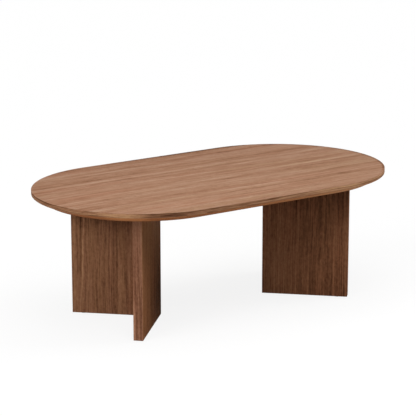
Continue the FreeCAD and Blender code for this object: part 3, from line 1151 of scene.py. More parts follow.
@dataclass(frozen=True)
class Nylon:
    """Moulded dark nylon with scuffs."""

    name: str = "moulded_nylon"
    ground: Colour = (0.035, 0.032, 0.03)
    scuff: Colour = (0.09, 0.085, 0.08)
    contrast: Span = (0.45, 0.75)
    sand_cell: Direction = (0.4, 0.4, 0.4)
    scuff_cell: Direction = (3.0, 3.0, 3.0)
    rough: float = 0.55
    scuff_rough: float = 0.15
    relief: float = 0.03

    def material(self) -> Material:
        """Builds the material.

        Returns:
            The material.
        """
        surface = Surface(self.name)
        scuffs = surface.speckle(self.scuff_cell, detail=3.0, rough=0.65)
        sand = surface.speckle(self.sand_cell)
        colour = surface.two_tone(scuffs.smooth(*self.contrast), self.ground, self.scuff)
        return surface.finish(colour, self.rough + scuffs * self.scuff_rough, sand, self.relief)


# The top


# The top's shades are lighter than the legs': partly a lighter veneer, partly painted sheen of the lacquer
# seen at a low angle.
TOP_SHADES = (
    (0.15, 0.068, 0.036),
    (0.285, 0.143, 0.083),
    (0.338, 0.187, 0.117),
    (0.415, 0.256, 0.172),
)
EDGE_SHADES = (
    (0.1, 0.042, 0.02),
    (0.2, 0.095, 0.049),
    (0.3, 0.15, 0.08),
    (0.46, 0.258, 0.136),
)
LEG_SHADES = (
    (0.085, 0.036, 0.018),
    (0.17, 0.074, 0.038),
    (0.25, 0.112, 0.058),
    (0.36, 0.176, 0.095),
)

# Streaks of one leaf of the top's veneer, measured from its rear edge
LEAF_MARKS = (
    Mark(5.0, 30.0, -0.1),
    Mark(55.0, 17.0, 0.28, 0.05),
    Mark(80.0, 18.0, -0.2, 0.05),
    Mark(112.0, 34.0, 0.12),
    Mark(163.0, 36.0, -0.22),
    Mark(196.0, 15.0, 0.3),
    Mark(221.0, 18.0, -0.22),
    Mark(290.0, 60.0, 0.07),
)

# Along the lipping, the grain starts at the left end of the front side and runs to the right
LIPPING_FIGURE = Figure(
    9.0,
    pith_across=-420.0,
    pith_depth=60.0,
    tilt=0.05,
    band=16.0,
    waver=3.0,
    streaks=(Mark(0.8, 3.0, -0.45),),
    patches=(
        Mark(2800.0, 110.0, 0.45),
        Mark(2880.0, 60.0, -0.12),
        Mark(190.0, 190.0, 0.16),
        Mark(520.0, 350.0, 0.42),
        Mark(1750.0, 300.0, 0.15),
    ),
    spots=(
        Spot(2860.0, 80.0, 1.0, 5.0, -0.25),
        Spot(2950.0, 92.0, 6.0, 9.0, -0.32),
        # A lighter line along the top of the lipping at the right front: painted highlight on the eased
        # arris, which also lightens the dark glue line there.
        Spot(560.0, 440.0, 0.8, 4.5, 0.5),
        Spot(520.0, 380.0, 38.0, 32.0, 0.14),
    ),
    tint=(1.0, 0.955, 0.955),
)

# Where, along the lipping, the bevel's warmer colour is weaker
BEVEL_FADE = Mark(560.0, 420.0, 0.5)


@dataclass(frozen=True)
class LippingRun:
    """One length of lipping: where its path starts and ends, in millimetres and radians."""

    node: str
    start_centre: float
    end_centre: float
    start_angle: float
    end_angle: float
    length: float


@dataclass
class TableTop:
    """The top: veneered board with a lipping round its edge."""

    half_straight: float
    radius: float
    face_top: float
    face_bottom: float
    lipping_inner: float
    lipping_land: float
    lipping_bottom: float
    edge_height: float = 13.0
    leaf_width: float = 300.0
    leaves: int = 2
    rim_width: float = 11.0
    warm_lead: float = 1.0
    face_easing: float = 0.45
    edge_easing: float = 1.6
    half_round_steps: int = 144
    segment_steps: int = 48

    @classmethod
    def from_frame(cls) -> "TableTop":
        """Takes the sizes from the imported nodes.

        Returns:
            The top with the frame's sizes.
        """
        face_low, face_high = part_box("top_face_veneer")
        strip_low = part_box("lipping_rear")[0]
        under_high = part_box("top_underside_veneer")[1]
        radius = face_high.y / MM
        return cls(
            half_straight=face_high.x / MM - radius,
            radius=radius,
            face_top=face_high.z / MM,
            face_bottom=face_low.z / MM,
            lipping_inner=strip_low.y / MM,
            lipping_land=under_high.y / MM,
            lipping_bottom=strip_low.z / MM,
        )

    def build(self) -> None:
        """Builds and dresses every piece of the top."""
        self._build_face()
        self._build_lippings()
        self._dress_hidden()

    def _build_face(self) -> None:
        """The face veneer, a stadium with an eased upper edge."""
        lengths = {
            "Half Straight": self.half_straight,
            "Radius": self.radius,
            "Easing": self.face_easing,
            "Top": self.face_top,
            "Bottom": self.face_bottom,
        }
        recipe = self._face_recipe(tuple(lengths))
        piece = recipe.make("top_face_leaf", self._face_walnut().material(), lengths)
        place_piece(piece, "table", "top_face_veneer")

    def _face_walnut(self) -> Walnut:
        """Finish of the face: leaves of veneer with the same streaks, side by side.

        Returns:
            The finish.
        """
        streaks = tuple(
            replace(mark, place=self.radius - number * self.leaf_width - mark.place)
            for number in range(self.leaves)
            for mark in LEAF_MARKS
        )
        figure = Figure(
            4.0,
            pith_across=-640.0,
            pith_depth=120.0,
            tilt=0.03,
            band=46.0,
            waver=9.0,
            streaks=streaks,
            # Darker towards the rear edge: painted shade.
            grades=(Mark(self.radius, 95.0, -0.27),),
            rim=Rim(self.half_straight, self.radius, self.rim_width, -0.42),
        )
        return Walnut(
            "walnut_top_veneer",
            figure,
            ALONG_X,
            ALONG_Y,
            TOP_SHADES,
            fine=6.0,
            band_share=0.25,
            line_share=0.48,
            streak_share=0.27,
            fleck_share=0.75,
            mottle_share=0.4,
        )

    def _face_recipe(self, labels: tuple[str, ...]) -> Recipe:
        """The tree that makes the face veneer.

        Args:
            labels: names of its lengths.

        Returns:
            The finished tree.
        """
        recipe = Recipe("top_face_outline", labels)
        top, bottom, easing = (recipe.given(label) for label in ("Top", "Bottom", "Easing"))
        half_way = 1.0 - DIAGONAL
        insets = [easing, easing * half_way, easing * 0.0, easing * 0.0]
        heights = [top, top - easing * half_way, top - easing, bottom]
        count = 2 * (self.half_round_steps + 1)
        sheet, column, row = recipe.grid(count + 1, len(insets))
        corner = column - column.above(count - 0.5) * count
        place = self._outline(recipe, corner, recipe.pick(row, insets), recipe.pick(row, heights))
        pieces = [recipe.shape(sheet, place)]
        for inset, height in ((insets[0], heights[0]), (insets[-1], heights[-1])):
            face, corner = recipe.cap(count)
            pieces.append(recipe.shape(face, self._outline(recipe, corner, inset, height)))
        return recipe.close(recipe.join(pieces))

    def _outline(self, recipe: Recipe, corner: Value, inset: Value, height: Value) -> Socket:
        """Place of a numbered corner of the stadium.

        Args:
            recipe: the tree.
            corner: number of the corner, counted from the front of the right end.
            inset: distance inside the outline.
            height: height above the floor.

        Returns:
            The place as a vector.
        """
        steps = self.half_round_steps
        left = corner.above(steps + 0.5)
        step = corner - left * (steps + 1.0)
        angle = step * (math.pi / steps) + left * math.pi - math.pi / 2
        centre = recipe.given("Half Straight") * (1.0 - left * 2.0)
        reach = recipe.given("Radius") - inset
        return recipe.vector(centre + reach * angle.cosine(), reach * angle.sine(), height)

    def _build_lippings(self) -> None:
        """The eight lippings, swept along the edge one after another."""
        recipe = self._lipping_recipe()
        walnut = Walnut(
            "walnut_lipping",
            LIPPING_FIGURE,
            ALONG_X,
            ALONG_Y,
            EDGE_SHADES,
            GrainSource.SWEPT,
            fine=2.2,
            streak_share=0.6,
            fleck_share=1.0,
            # The bevel gets a warmer colour and painted light from the floor.
            bevel_warmth_and_light=WarmthAndPaintedLight(self.edge_height - self.warm_lead, BEVEL_FADE),
        )
        material = walnut.material()
        levels = {
            "Inner": self.lipping_inner,
            "Land": self.lipping_land,
            "Outer": self.radius,
            "Bottom": self.lipping_bottom,
            "Bevel Top": self.face_top - self.edge_height,
            "Top": self.face_bottom,
            "Easing": self.edge_easing,
        }
        gone = 0.0
        for run in self._lipping_runs():
            path = {"Start Centre": run.start_centre, "End Centre": run.end_centre}
            grain = {"Grain Start": gone, "Length": run.length}
            angles = {"Start Angle": run.start_angle, "End Angle": run.end_angle}
            name = run.node.replace("lipping", "edge")
            piece = recipe.make(name, material, levels | path | grain, angles)
            place_piece(piece, "table", run.node)
            gone += run.length

    def _lipping_runs(self) -> list[LippingRun]:
        """The lengths of lipping in order: each straight side, then the end that follows it.

        Returns:
            The eight lengths.
        """
        third = math.pi / 3
        ends = (
            ("front", "right", 1.0, ("front", "middle", "rear")),
            ("rear", "left", -1.0, ("rear", "middle", "front")),
        )
        runs = []
        for side, end, sign, parts in ends:
            centre = sign * self.half_straight
            angle = -sign * math.pi / 2
            straight = 2 * self.half_straight
            runs.append(LippingRun(f"lipping_{side}", -centre, centre, angle, angle, straight))
            for part in parts:
                node = f"lipping_{end}_{part}"
                arc = self.radius * third
                runs.append(LippingRun(node, centre, centre, angle, angle + third, arc))
                angle += third
        return runs

    def _lipping_recipe(self) -> Recipe:
        """The tree that sweeps the lipping's section along an arc or a straight run.

        Returns:
            The finished tree.
        """
        labels = ("Start Centre", "End Centre", "Start Angle", "End Angle", "Grain Start", "Length")
        levels = ("Inner", "Land", "Outer", "Bottom", "Bevel Top", "Top", "Easing")
        recipe = Recipe("lipping_sweep", labels + levels)
        inner, land, outer, bottom, bevel, top, easing = (recipe.given(label) for label in levels)
        run = outer - land
        rise = bevel - bottom
        slope = (run * run + rise * rise).root()
        low_reach = outer - easing * run / slope
        low_height = bevel - easing * rise / slope
        high_height = bevel + easing
        # The eased corner's middle lies on a quadratic curve
        mid_reach = low_reach * 0.25 + outer * 0.75
        mid_height = low_height * 0.25 + bevel * 0.5 + high_height * 0.25
        reaches = [inner, inner, land, low_reach, mid_reach, outer, outer, inner]
        heights = [top, bottom, bottom, low_height, mid_height, high_height, top, top]
        pieces = []
        for sheet, column, row in recipe.tube(self.segment_steps + 1, len(reaches)):
            reach, height = recipe.pick(row, reaches), recipe.pick(row, heights)
            share = column * (1.0 / self.segment_steps)
            pieces.append(self._swept(recipe, sheet, share, reach, height))
        return recipe.close(recipe.join(pieces))

    @staticmethod
    def _swept(recipe: Recipe, sheet: Socket, share: Value, reach: Value, height: Value) -> Socket:
        """Puts a sheet on the lipping's path and stores its grain directions.

        Args:
            recipe: the tree.
            sheet: the faces to be placed.
            share: how far along the path each point is, from zero to one.
            reach: distance of each point from the path's centre.
            height: height of each point.

        Returns:
            The placed sheet.
        """
        first, last = recipe.given("Start Centre"), recipe.given("End Centre")
        start, end = recipe.given("Start Angle"), recipe.given("End Angle")
        centre = first + (last - first) * share
        angle = start + (end - start) * share
        along = recipe.given("Grain Start") + recipe.given("Length") * share
        across = recipe.given("Top") - height + recipe.given("Outer") - reach
        settings = {"data_type": "FLOAT_VECTOR", "domain": "POINT"}
        sockets = {"Geometry": sheet, "Name": "grain", "Value": recipe.vector(along, across, 0.0)}
        grained = recipe.node("GeometryNodeStoreNamedAttribute", settings, sockets).outputs[0]
        place = recipe.vector(centre + reach * angle.cosine(), reach * angle.sine(), height)
        return recipe.shape(grained, place)

    def _dress_hidden(self) -> None:
        """Materials of the core and of the veneer below it."""
        dress_node("top_core", Fibreboard("fibreboard_top").material())
        figure = Figure(14.0, pith_across=-500.0, pith_depth=100.0, band=40.0)
        backing = Walnut("walnut_backing", figure, ALONG_X, ALONG_Y, LEG_SHADES)
        dress_node("top_underside_veneer", backing.material())


# The legs


@dataclass(frozen=True)
class PanelFigures:
    """Grain and marks of a panel's two veneers and of the solid strip on its free end; some marks are
    painted light and shade.
    """

    outer: Figure
    inner: Figure
    end: Figure


STRIP = Figure(
    0.0,
    pith_across=-60.0,
    pith_depth=30.0,
    tilt=0.03,
    band=9.0,
    waver=5.0,
    # Lighter at the top of each strip: painted light where the table top shades it.
    patches=(Mark(360.0, 160.0, 0.3),),
)
PANEL_FIGURES = {
    "left_front": PanelFigures(
        outer=Figure(
            21.0,
            band=18.0,
            # Grade, patches and spots paint light and shade: lighter towards the free end and the top,
            # darker towards the bottom and the corner of the V. The tint is partly a darker board, partly
            # painted shade.
            grades=(Mark(280.0, 190.0, 0.3),),
            patches=(Mark(0.0, 200.0, -0.15), Mark(320.0, 170.0, 0.1)),
            spots=(Spot(330.0, 150.0, 60.0, 320.0, 0.36), Spot(85.0, 180.0, 0.0, 240.0, -0.52)),
            tint=(0.85, 0.79, 0.66),
        ),
        inner=Figure(22.0, band=20.0),
        end=replace(
            STRIP,
            seed=21.7,
            streaks=(
                Mark(24.0, 6.0, 0.45, 0.04),
                Mark(15.6, 4.2, -0.16, 0.037),
                Mark(4.8, 4.2, -0.24, 0.035),
                Mark(0.5, 3.0, 0.3),
            ),
            # The grade at 28 mm, lighter along the edge by the inner face, is partly painted highlight on
            # the arris and partly lighter wood.
            grades=(Mark(28.0, 6.0, 0.24), Mark(8.0, 8.0, 0.05)),
            spots=(Spot(40.0, 140.0, 24.0, 7.5, 0.45),),
            tint=(1.0, 0.985, 1.06),
        ),
    ),
    "left_rear": PanelFigures(
        outer=Figure(23.0, band=18.0),
        inner=Figure(
            24.0,
            band=18.0,
            streaks=(
                Mark(243.5, 5.0, 0.6, -0.045),
                Mark(252.0, 5.0, -0.2, -0.045),
                Mark(229.0, 7.0, -0.15, -0.045),
            ),
            grades=(Mark(275.0, 140.0, 0.14),),
            # Darker just below the table top: painted shadow.
            patches=(Mark(315.0, 75.0, -0.36),),
        ),
        end=replace(STRIP, seed=23.7, streaks=(Mark(8.0, 5.0, -0.25, 0.02),)),
    ),
    "right_front": PanelFigures(
        outer=Figure(
            25.0,
            pith_across=184.0,
            pith_depth=-8.0,
            tilt=0.12,
            band=12.0,
            waver=8.0,
            grades=(Mark(20.0, 90.0, 0.15), Mark(130.0, 90.0, -0.06)),
            # The patch at 345 mm is painted shadow under the table top.
            patches=(Mark(0.0, 200.0, -0.12), Mark(345.0, 110.0, -0.38)),
            spots=(
                Spot(60.0, 170.0, 40.0, 170.0, 0.26),
                Spot(20.0, 150.0, 250.0, 90.0, -0.18),
                # Painted shadow under the table top, in the corner of the V.
                Spot(345.0, 170.0, 0.0, 60.0, -0.2),
            ),
            tint=(1.04, 0.99, 0.93),
        ),
        inner=Figure(26.0, band=20.0),
        end=replace(STRIP, seed=25.7, streaks=(Mark(20.0, 5.0, -0.25, -0.02),)),
    ),
    "right_rear": PanelFigures(
        outer=Figure(27.0, band=18.0),
        inner=Figure(28.0, band=20.0),
        end=replace(STRIP, seed=27.7, streaks=(Mark(3.0, 5.0, 0.25, 0.01),)),
    ),
}


@dataclass
class Panel:
    """One panel of a V leg: board, two veneers and a solid strip on its free end."""

    name: str
    x_sign: int
    y_sign: int
    apex: float
    length: float
    thickness: float
    figures: PanelFigures
    easing: float = 0.4
    tolerance: float = 0.05

    @property
    def along(self) -> Direction:
        """Direction from the corner of the V to the panel's free end."""
        return (self.x_sign * DIAGONAL, self.y_sign * DIAGONAL, 0.0)

    @property
    def inwards(self) -> Direction:
        """Direction from the panel's outer face to its inner face."""
        return (self.x_sign * DIAGONAL, -self.y_sign * DIAGONAL, 0.0)

    def local(self, point: Vector) -> Vector:
        """A point as distance along the panel, depth in it and height, in millimetres."""
        flat = point / MM - Vector((self.x_sign * self.apex, 0.0, 0.0))
        return Vector((flat.dot(Vector(self.along)), flat.dot(Vector(self.inwards)), flat.z))

    def build(self, board: Material) -> None:
        """Builds and dresses the panel's pieces.

        Args:
            board: material of the core.
        """
        dress_node(f"{self.name}_panel_core", board)
        veneer = Walnut(
            f"walnut_{self.name}_outer",
            self.figures.outer,
            UPRIGHT,
            self.along,
            LEG_SHADES,
            start=self.apex * DIAGONAL,
            streak_share=0.36,
            fleck_share=0.6,
            flecks=replace(FLECKS, second=11.0),
            mottle_share=0.6,
            mottle=replace(MOTTLE, first=9.0, second=6.0),
            sheen=0.008,
        )
        inner = replace(veneer, name=f"walnut_{self.name}_inner", figure=self.figures.inner)
        strip = Walnut(
            f"walnut_{self.name}_end",
            self.figures.end,
            UPRIGHT,
            self.inwards,
            LEG_SHADES,
            start=self.apex * DIAGONAL,
            fine=2.6,
            streak_share=0.42,
            mottle_share=0.6,
            mottle=replace(MOTTLE, first=9.0, second=5.0),
        )
        self._dress("outer_veneer", "outer_leaf", veneer, 0.0)
        self._dress("inner_veneer", "inner_leaf", inner, self.thickness)
        self._dress("end_lipping", "end_strip", strip, None)

    def _dress(self, node: str, piece: str, walnut: Walnut, face: Optional[float]) -> None:
        """Makes one piece of the panel, with eased edges and upright grain.

        Args:
            node: CAD node, without the panel's name.
            piece: the new piece, without the panel's name.
            walnut: its finish.
            face: depth of a veneer's own outer face, or none for the end strip.
        """
        whole_node = f"{self.name}_{node}"
        made = eased_copy(whole_node, f"{self.name}_{piece}", self.easing, self._exposed(face))
        made.data.materials.append(walnut.material())
        place_piece(made, "table", whole_node)

    def _exposed(self, face: Optional[float]) -> EdgeTest:
        """Tells the edges that lie on two outer faces of the panel.

        Args:
            face: depth of a veneer's own outer face, or none for the end strip.

        Returns:
            The test for an edge.
        """
        floor_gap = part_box(f"{self.name}_panel_core")[0].z / MM

        def near(numbers: list[float], level: float) -> bool:
            """True where all the numbers are at the level."""
            return all(abs(number - level) < self.tolerance for number in numbers)

        def test(edge: bmesh.types.BMEdge) -> bool:
            """Looks at one edge.

            Args:
                edge: an edge of the panel's copy.

            Returns:
                True where it lies on two outer faces.
            """
            places = [self.local(vert.co) for vert in edge.verts]
            along, deep, high = ([place[axis] for place in places] for axis in range(3))
            corner = near(along, 0.0) and near(deep, 0.0)
            faces = [near(along, self.length), near(high, floor_gap), corner]
            if face is not None:
                faces.append(near(deep, face))
            return sum(faces) >= 2

        return test


@dataclass
class Glide:
    """A levelling glide under a panel's free end: foot, and threaded stem."""

    panel: str
    foot_radius: float = 10.0
    foot_height: float = 6.0
    lower_round: float = 1.2
    upper_round: float = 0.8
    round_steps: int = 4
    foot_steps: int = 64
    key_hole: float = 3.0
    hole_chamfer: float = 0.2
    seat_room: float = 0.3
    running_fit: float = 0.05
    flange_radius: float = 8.0
    flange_bottom: float = 1.2
    flange_top: float = 3.0
    flange_chamfer: float = 0.2
    stem_radius: float = 3.0
    stem_top: float = 26.3
    tip_length: float = 0.6
    tip_inset: float = 0.5
    thread_pitch: float = 1.0
    thread_depth: float = 0.5
    key_width: float = 4.0

    @property
    def centre(self) -> tuple[float, float]:
        """Place of the glide's axis."""
        low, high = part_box(f"{self.panel}_glide_foot")
        return ((low.x + high.x) / 2 / MM, (low.y + high.y) / 2 / MM)

    def build(self, nylon: Material, zinc: Material, thread: Recipe) -> None:
        """Builds and dresses the foot and the stem.

        Args:
            nylon: material of the foot.
            zinc: material of the stem.
            thread: the tree that makes the stem's thread.
        """
        foot = settle(link_object(f"{self.panel}_foot_pad", self._foot_mesh()))
        foot.data.materials.append(nylon)
        place_piece(foot, f"{self.panel}_foot", f"{self.panel}_glide_foot")
        stem = self._stem(zinc, thread)
        place_piece(stem, f"{self.panel}_stem", f"{self.panel}_glide_stem")

    def _foot_mesh(self) -> Mesh:
        """The foot: a rounded disc, undercut for the stem's flange.

        Returns:
            The mesh.
        """
        hole = self.key_hole
        cavity = self.flange_radius + self.seat_room
        neck = self.stem_radius + self.seat_room
        low = self.flange_bottom - self.running_fit
        top = self.flange_top + self.running_fit
        rings = [
            Ring(hole + self.hole_chamfer, 0.0),
            *self._rounding(self.lower_round, self.lower_round, -math.pi / 2),
            *self._rounding(self.upper_round, self.foot_height - self.upper_round, 0.0),
            Ring(neck, self.foot_height),
            Ring(neck, top),
            Ring(cavity, top),
            Ring(cavity, low),
            Ring(hole, low),
            Ring(hole, self.hole_chamfer),
        ]
        return turned_mesh(f"{self.panel}_foot_pad", rings, self.centre, True, self.foot_steps)

    def _rounding(self, radius: float, height: float, start: float) -> list[Ring]:
        """A quarter round on the foot's rim.

        Args:
            radius: radius of the rounding.
            height: height of its centre.
            start: angle at which it starts, in radians.

        Returns:
            Its rings, from below upwards.
        """
        centre = self.foot_radius - radius
        step = math.pi / 2 / self.round_steps
        turns = [start + step * number for number in range(self.round_steps + 1)]
        return [Ring(centre + radius * math.cos(turn), height + radius * math.sin(turn)) for turn in turns]

    def _stem(self, zinc: Material, thread: Recipe) -> Piece:
        """The stem: a rod with a flange, a hexagon socket and a thread.

        Args:
            zinc: its material.
            thread: the tree that makes its thread.

        Returns:
            The stem.
        """
        key = self.key_width / 2
        root = self.stem_radius - self.thread_depth
        tip = self.tip_length
        low, high = self.flange_bottom, self.flange_top
        rim, cut = self.flange_radius, self.flange_chamfer
        rings = [
            Ring(0.0, high - self.running_fit),
            Ring(key, high - self.running_fit, Section.HEXAGON),
            Ring(key, low, Section.HEXAGON),
            Ring(rim - cut, low),
            Ring(rim, low + cut),
            Ring(rim, high - cut),
            Ring(rim - cut, high),
            Ring(root, high),
            Ring(root, self.stem_top - tip),
            Ring(root - self.tip_inset, self.stem_top),
            Ring(0.0, self.stem_top),
        ]
        rod = turned_mesh(f"{self.panel}_rod", rings, self.centre)
        # The rod stays plain for one tip's length below the thread and for two above it
        lengths = {
            "Centre X": self.centre[0],
            "Centre Y": self.centre[1],
            "Start": high + tip,
            "Length": self.stem_top - high - 3 * tip,
            "Pitch": self.thread_pitch,
            "Root": root,
            "Depth": self.thread_depth,
        }
        ridge = thread.make(f"{self.panel}_thread", zinc, lengths)
        shape = bmesh.new()
        shape.from_mesh(rod)
        bmesh.ops.recalc_face_normals(shape, faces=shape.faces)
        shape.from_mesh(ridge.data)
        bpy.data.objects.remove(ridge)
        mesh = mesh_of(shape, f"{self.panel}_stud")
        mesh.materials.append(zinc)
        shade(mesh)
        return link_object(f"{self.panel}_stud", mesh)


def thread_recipe(
    turns: int = 20, steps_a_turn: int = 24, sunk: float = 0.15, half_width: float = 0.48
) -> Recipe:
    """The tree that winds a thread's ridge round a rod.

    Args:
        turns: turns of the thread, which fades in over the first and out over the last.
        steps_a_turn: points in one turn.
        sunk: how far the ridge reaches into the rod, as a share of the thread's depth.
        half_width: half the ridge's width, as a share of the pitch.

    Returns:
        The finished tree.
    """
    labels = ("Centre X", "Centre Y", "Start", "Length", "Pitch", "Root", "Depth")
    recipe = Recipe("thread_ridge", labels)
    centre_x, centre_y, start, length, pitch, root, depth = (recipe.given(label) for label in labels)
    steps = turns * steps_a_turn
    base = root - depth * sunk
    reaches = [base, root + depth, base, base]
    offsets = [pitch * share for share in (-half_width, 0.0, half_width, -half_width)]
    pieces = []
    for sheet, column, row in recipe.tube(steps + 1, len(reaches)):
        angle = column * (2 * math.pi / steps_a_turn)
        fade = (column / steps_a_turn).at_most((steps - column) / steps_a_turn).at_most(1.0)
        reach = base + (recipe.pick(row, reaches) - base) * fade
        height = start + length * (column / steps) + recipe.pick(row, offsets)
        x = centre_x + reach * angle.cosine()
        y = centre_y + reach * angle.sine()
        pieces.append(recipe.shape(sheet, recipe.vector(x, y, height)))
    return recipe.close(recipe.join(pieces))


# Dome of a button head: radius, and height above the head's lowest point
BUTTON_DOME = ((2.9, 0.0), (3.8, 0.16), (4.6, 0.6), (5.15, 1.25), (5.45, 2.1), (5.5, 2.7))

# Rounded rim of a washer: distance inside the rim, and height above the underside
WASHER_ROUND = ((0.4, 0.0), (0.12, 0.12), (0.0, 0.4))


@dataclass
class LegFittings:
    """Mounting plate, bolts and washers of one leg, and the hardware inside it."""

    leg: str
    sign: int
    apex: float
    corner_bolt: float = 57.28
    bolt_step: float = 25.456
    plate_easing: float = 0.5
    plate_edge: float = 20.0
    seat: float = 364.4
    plate_bottom: float = 366.0
    head_bottom: float = 361.0
    bolt_tip: float = 380.4
    head_radius: float = 5.5
    shank_radius: float = 3.0
    socket_half: float = 2.0
    socket_depth: float = 1.7
    socket_cone: float = 0.3
    socket_chamfer: float = 0.2
    head_chamfer: float = 0.15
    tip_chamfer: float = 0.8
    washer_radius: float = 6.0
    washer_hole: float = 3.3
    hole_chamfer: float = 0.1
    rim_chamfer: float = 0.05

    def build(self, black: Material, zinc: Material, beech: Material) -> None:
        """Builds and dresses the fittings.

        Args:
            black: material of the plate.
            zinc: material of the fasteners.
            beech: material of the dowels.
        """
        node = f"{self.leg}_mounting_plate"
        plate = eased_copy(node, f"{self.leg}_plate", self.plate_easing, self._long)
        plate.data.materials.append(black)
        place_piece(plate, "table", node)
        bolt = turned_mesh(f"{self.leg}_bolt_shape", self._bolt())
        self._repeat(f"{self.leg}_bolts", bolt, zinc, f"{self.leg}_plate_bolts")
        washer = turned_mesh(f"{self.leg}_washer_shape", self._washer(), hollow=True)
        self._repeat(f"{self.leg}_washers", washer, zinc, f"{self.leg}_bolt_washers")
        for inside in ("plate_screws", "top_inserts", "glide_sleeves"):
            dress_node(f"{self.leg}_{inside}", zinc)
        dress_node(f"{self.leg}_mitre_dowels", beech)

    def _long(self, edge: bmesh.types.BMEdge) -> bool:
        """True for the plate's outer edges, which are longer than those of its holes."""
        return edge.calc_length() > self.plate_edge * MM

    def _bolt(self) -> list[Ring]:
        """Profile of a button head bolt with a hexagon socket.

        Returns:
            The profile from the socket's bottom to the tip.
        """
        low, key, shank = self.head_bottom, self.socket_half, self.shank_radius
        return [
            Ring(0.0, low + self.socket_depth + self.socket_cone),
            Ring(key, low + self.socket_depth, Section.HEXAGON),
            Ring(key, low + self.socket_chamfer, Section.HEXAGON),
            Ring(key + self.socket_chamfer, low, Section.HEXAGON),
            *(Ring(radius, low + height) for radius, height in BUTTON_DOME),
            Ring(self.head_radius, self.seat - self.head_chamfer),
            Ring(self.head_radius - self.head_chamfer, self.seat),
            Ring(shank, self.seat),
            Ring(shank, self.bolt_tip - self.tip_chamfer),
            Ring(shank - self.tip_chamfer, self.bolt_tip),
            Ring(0.0, self.bolt_tip),
        ]

    def _washer(self) -> list[Ring]:
        """Profile of a plain washer with a rounded lower rim.

        Returns:
            The profile, a closed ring.
        """
        low, high = self.seat, self.plate_bottom
        hole, rim = self.washer_hole, self.washer_radius
        return [
            Ring(hole, low + self.hole_chamfer),
            Ring(hole + self.hole_chamfer, low),
            *(Ring(rim - inset, low + height) for inset, height in WASHER_ROUND),
            Ring(rim, high - self.rim_chamfer),
            Ring(rim - self.rim_chamfer, high),
            Ring(hole, high),
        ]

    def _repeat(self, name: str, mesh: Mesh, material: Material, node: str) -> None:
        """Sets one shape at the three bolt places of the plate.

        Args:
            name: name of the piece.
            mesh: the shape, on an axis through the origin.
            material: what it is dressed in.
            node: CAD node that the piece stands for.
        """
        pattern = bpy.data.objects.new(f"{name}_pattern", mesh)
        recipe = Recipe(f"{name}_places", ("Corner", "Step"))
        corner, step = recipe.given("Corner"), recipe.given("Step")
        points = recipe.node("GeometryNodePoints", None, {"Count": 3})
        index = recipe.value("GeometryNodeInputIndex")
        # Point 0 is nearest the corner, and points 1 and 2 are a step on, one to each side
        beside = index.at_most(1.0)
        across = step * beside * (index * 2.0 - 3.0)
        place = recipe.vector((corner + step * beside) * float(self.sign), across, 0.0)
        shape = recipe.node("GeometryNodeObjectInfo", None, {"Object": pattern})
        placed = recipe.shape(points.outputs[0], place)
        sockets = {"Points": placed, "Instance": shape.outputs["Geometry"]}
        recipe.close(recipe.node("GeometryNodeInstanceOnPoints", None, sockets).outputs[0])
        lengths = {"Corner": self.apex + self.corner_bolt, "Step": self.bolt_step}
        piece = recipe.make(name, material, lengths)
        bpy.data.objects.remove(pattern)
        place_piece(piece, "table", node)


@dataclass
class Legs:
    """Both V legs with their fittings and glides."""

    apex: float = 189.0
    panel_length: float = 265.0
    panel_thickness: float = 28.0

    def build(self) -> None:
        """Builds every panel, fitting and glide."""
        board = Fibreboard("fibreboard_panel").material()
        beech = Beech().material()
        black = PowderCoat().material()
        zinc = ZincPlate().material()
        nylon = Nylon().material()
        thread = thread_recipe()
        sizes = (self.apex, self.panel_length, self.panel_thickness)
        for x_name, x_sign in (("left", -1), ("right", 1)):
            LegFittings(x_name, x_sign, self.apex).build(black, zinc, beech)
            for y_name, y_sign in (("front", -1), ("rear", 1)):
                name = f"{x_name}_{y_name}"
                Panel(name, x_sign, y_sign, *sizes, PANEL_FIGURES[name]).build(board)
                Glide(name).build(nylon, zinc, thread)


# The studio


def aim(holder: Piece, towards: Vector, axis: str = "Z") -> None:
    """Turns a lamp or a camera so that one of its axes points in a direction."""
    holder.rotation_mode = "QUATERNION"
    holder.rotation_quaternion = towards.to_track_quat(axis, "Y")


@dataclass(frozen=True)
class SoftSun:
    """A broad, soft light from far away."""

    name: str
    towards_light: Direction
    strength: float
    spread: float

    def build(self) -> None:
        """Puts the light in the scene."""
        lamp = bpy.data.lights.new(self.name, "SUN")
        lamp.energy = self.strength
        lamp.angle = math.radians(self.spread)
        aim(link_object(self.name, lamp), Vector(self.towards_light))


@dataclass(frozen=True)
class SoftBox:
    """A round soft box close to the object, with sizes in metres."""

    name: str
    place: Direction
    target: Direction
    width: float
    power: float

    def build(self) -> None:
        """Puts the light in the scene."""
        lamp = bpy.data.lights.new(self.name, "AREA")
        lamp.shape = "DISK"
        lamp.size = self.width
        lamp.energy = self.power
        holder = link_object(self.name, lamp)
        holder.location = self.place
        holder.visible_camera = False
        aim(holder, Vector(self.place) - Vector(self.target))


LIGHTS = (
    SoftSun("overhead_light", (-0.05, -0.1, 1.0), 1.45, 60.0),
    SoftBox("front_light", (-0.7, -1.5, 2.0), (0.0, 0.0, 0.3), 0.9, 10.0),
    SoftSun("left_light", (-0.92, -0.1, 0.45), 1.6, 35.0),
    SoftSun("right_light", (0.95, -0.3, 0.5), 1.3, 30.0),
)


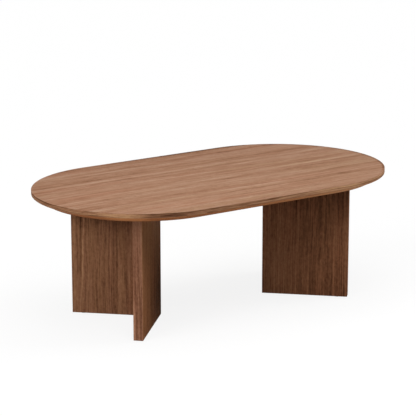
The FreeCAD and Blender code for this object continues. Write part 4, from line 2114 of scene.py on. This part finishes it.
@dataclass(frozen=True)
class Studio:
    """Pale floor, white surroundings, soft lights and the camera, with places in metres."""

    floor_half: float = 30.0
    floor_paint: Colour = (0.95, 0.95, 0.95)
    floor_bounce: Colour = (0.45, 0.45, 0.45)
    ambient: float = 0.17
    seen_white: float = 0.87
    camera_place: Direction = (-2.9865, -4.1831, 1.5721)
    camera_forward: Direction = (0.56192, 0.79152, -0.24009)
    sensor: float = 36.0
    lens: float = 152.12
    clip_end: float = 100.0

    def build(self) -> None:
        """Builds the surroundings."""
        bpy.context.scene.view_settings.view_transform = "Standard"
        self._world()
        self._floor()
        for light in LIGHTS:
            light.build()
        self._camera()

    @staticmethod
    def _seen(graph: Graph) -> Value:
        """Tells the rays that show the surroundings as they look.

        Args:
            graph: the tree of the floor or the world.

        Returns:
            One for such rays, else zero.
        """
        path = graph.node("ShaderNodeLightPath")
        rays = ("Is Camera Ray", "Is Glossy Ray", "Is Transmission Ray")
        camera, glossy, through = (Value(graph, path.outputs[ray]) for ray in rays)
        return camera.at_least(glossy).at_least(through)

    def _world(self) -> None:
        """White to look at, and a low even light on the object."""
        world = bpy.data.worlds.new("studio_world")
        world.use_nodes = True
        graph = Graph(world.node_tree)
        world.node_tree.nodes.clear()
        strength = self.ambient + self._seen(graph) * (1.0 - self.ambient)
        sockets = {"Color": rgba(WHITE), "Strength": strength}
        background = graph.node("ShaderNodeBackground", None, sockets)
        graph.node("ShaderNodeOutputWorld", None, {"Surface": background.outputs[0]})
        bpy.context.scene.world = world

    def _floor(self) -> None:
        """A pale floor that keeps a soft shadow."""
        shape = bmesh.new()
        bmesh.ops.create_grid(shape, x_segments=2, y_segments=2, size=self.floor_half)
        floor = link_object("studio_floor", mesh_of(shape, "studio_floor"))
        surface = Surface("pale_floor")
        seen = self._seen(surface)
        colour = surface.blend(seen, self.floor_bounce, self.floor_paint)
        paint = surface.node("ShaderNodeBsdfDiffuse", None, {"Color": colour})
        white = surface.node("ShaderNodeEmission", None, {"Color": rgba(WHITE), "Strength": 1.0})
        sockets = {0: seen * self.seen_white, 1: paint.outputs[0], 2: white.outputs[0]}
        mixed = surface.node("ShaderNodeMixShader", None, sockets)
        surface.node("ShaderNodeOutputMaterial", None, {"Surface": mixed.outputs[0]})
        floor.data.materials.append(surface.material)

    def _camera(self) -> None:
        """The camera at the photograph's angle."""
        lens = bpy.data.cameras.new("camera")
        lens.sensor_width = self.sensor
        lens.lens = self.lens
        lens.clip_end = self.clip_end
        camera = link_object("camera", lens)
        camera.location = self.camera_place
        aim(camera, Vector(self.camera_forward), "-Z")
        bpy.context.scene.camera = camera


def main() -> None:
    """Builds the table and the studio."""
    logging.basicConfig(level=logging.INFO, format="%(message)s")
    TableTop.from_frame().build()
    Legs().build()
    Studio().build()


if __name__ == "__main__":
    main()
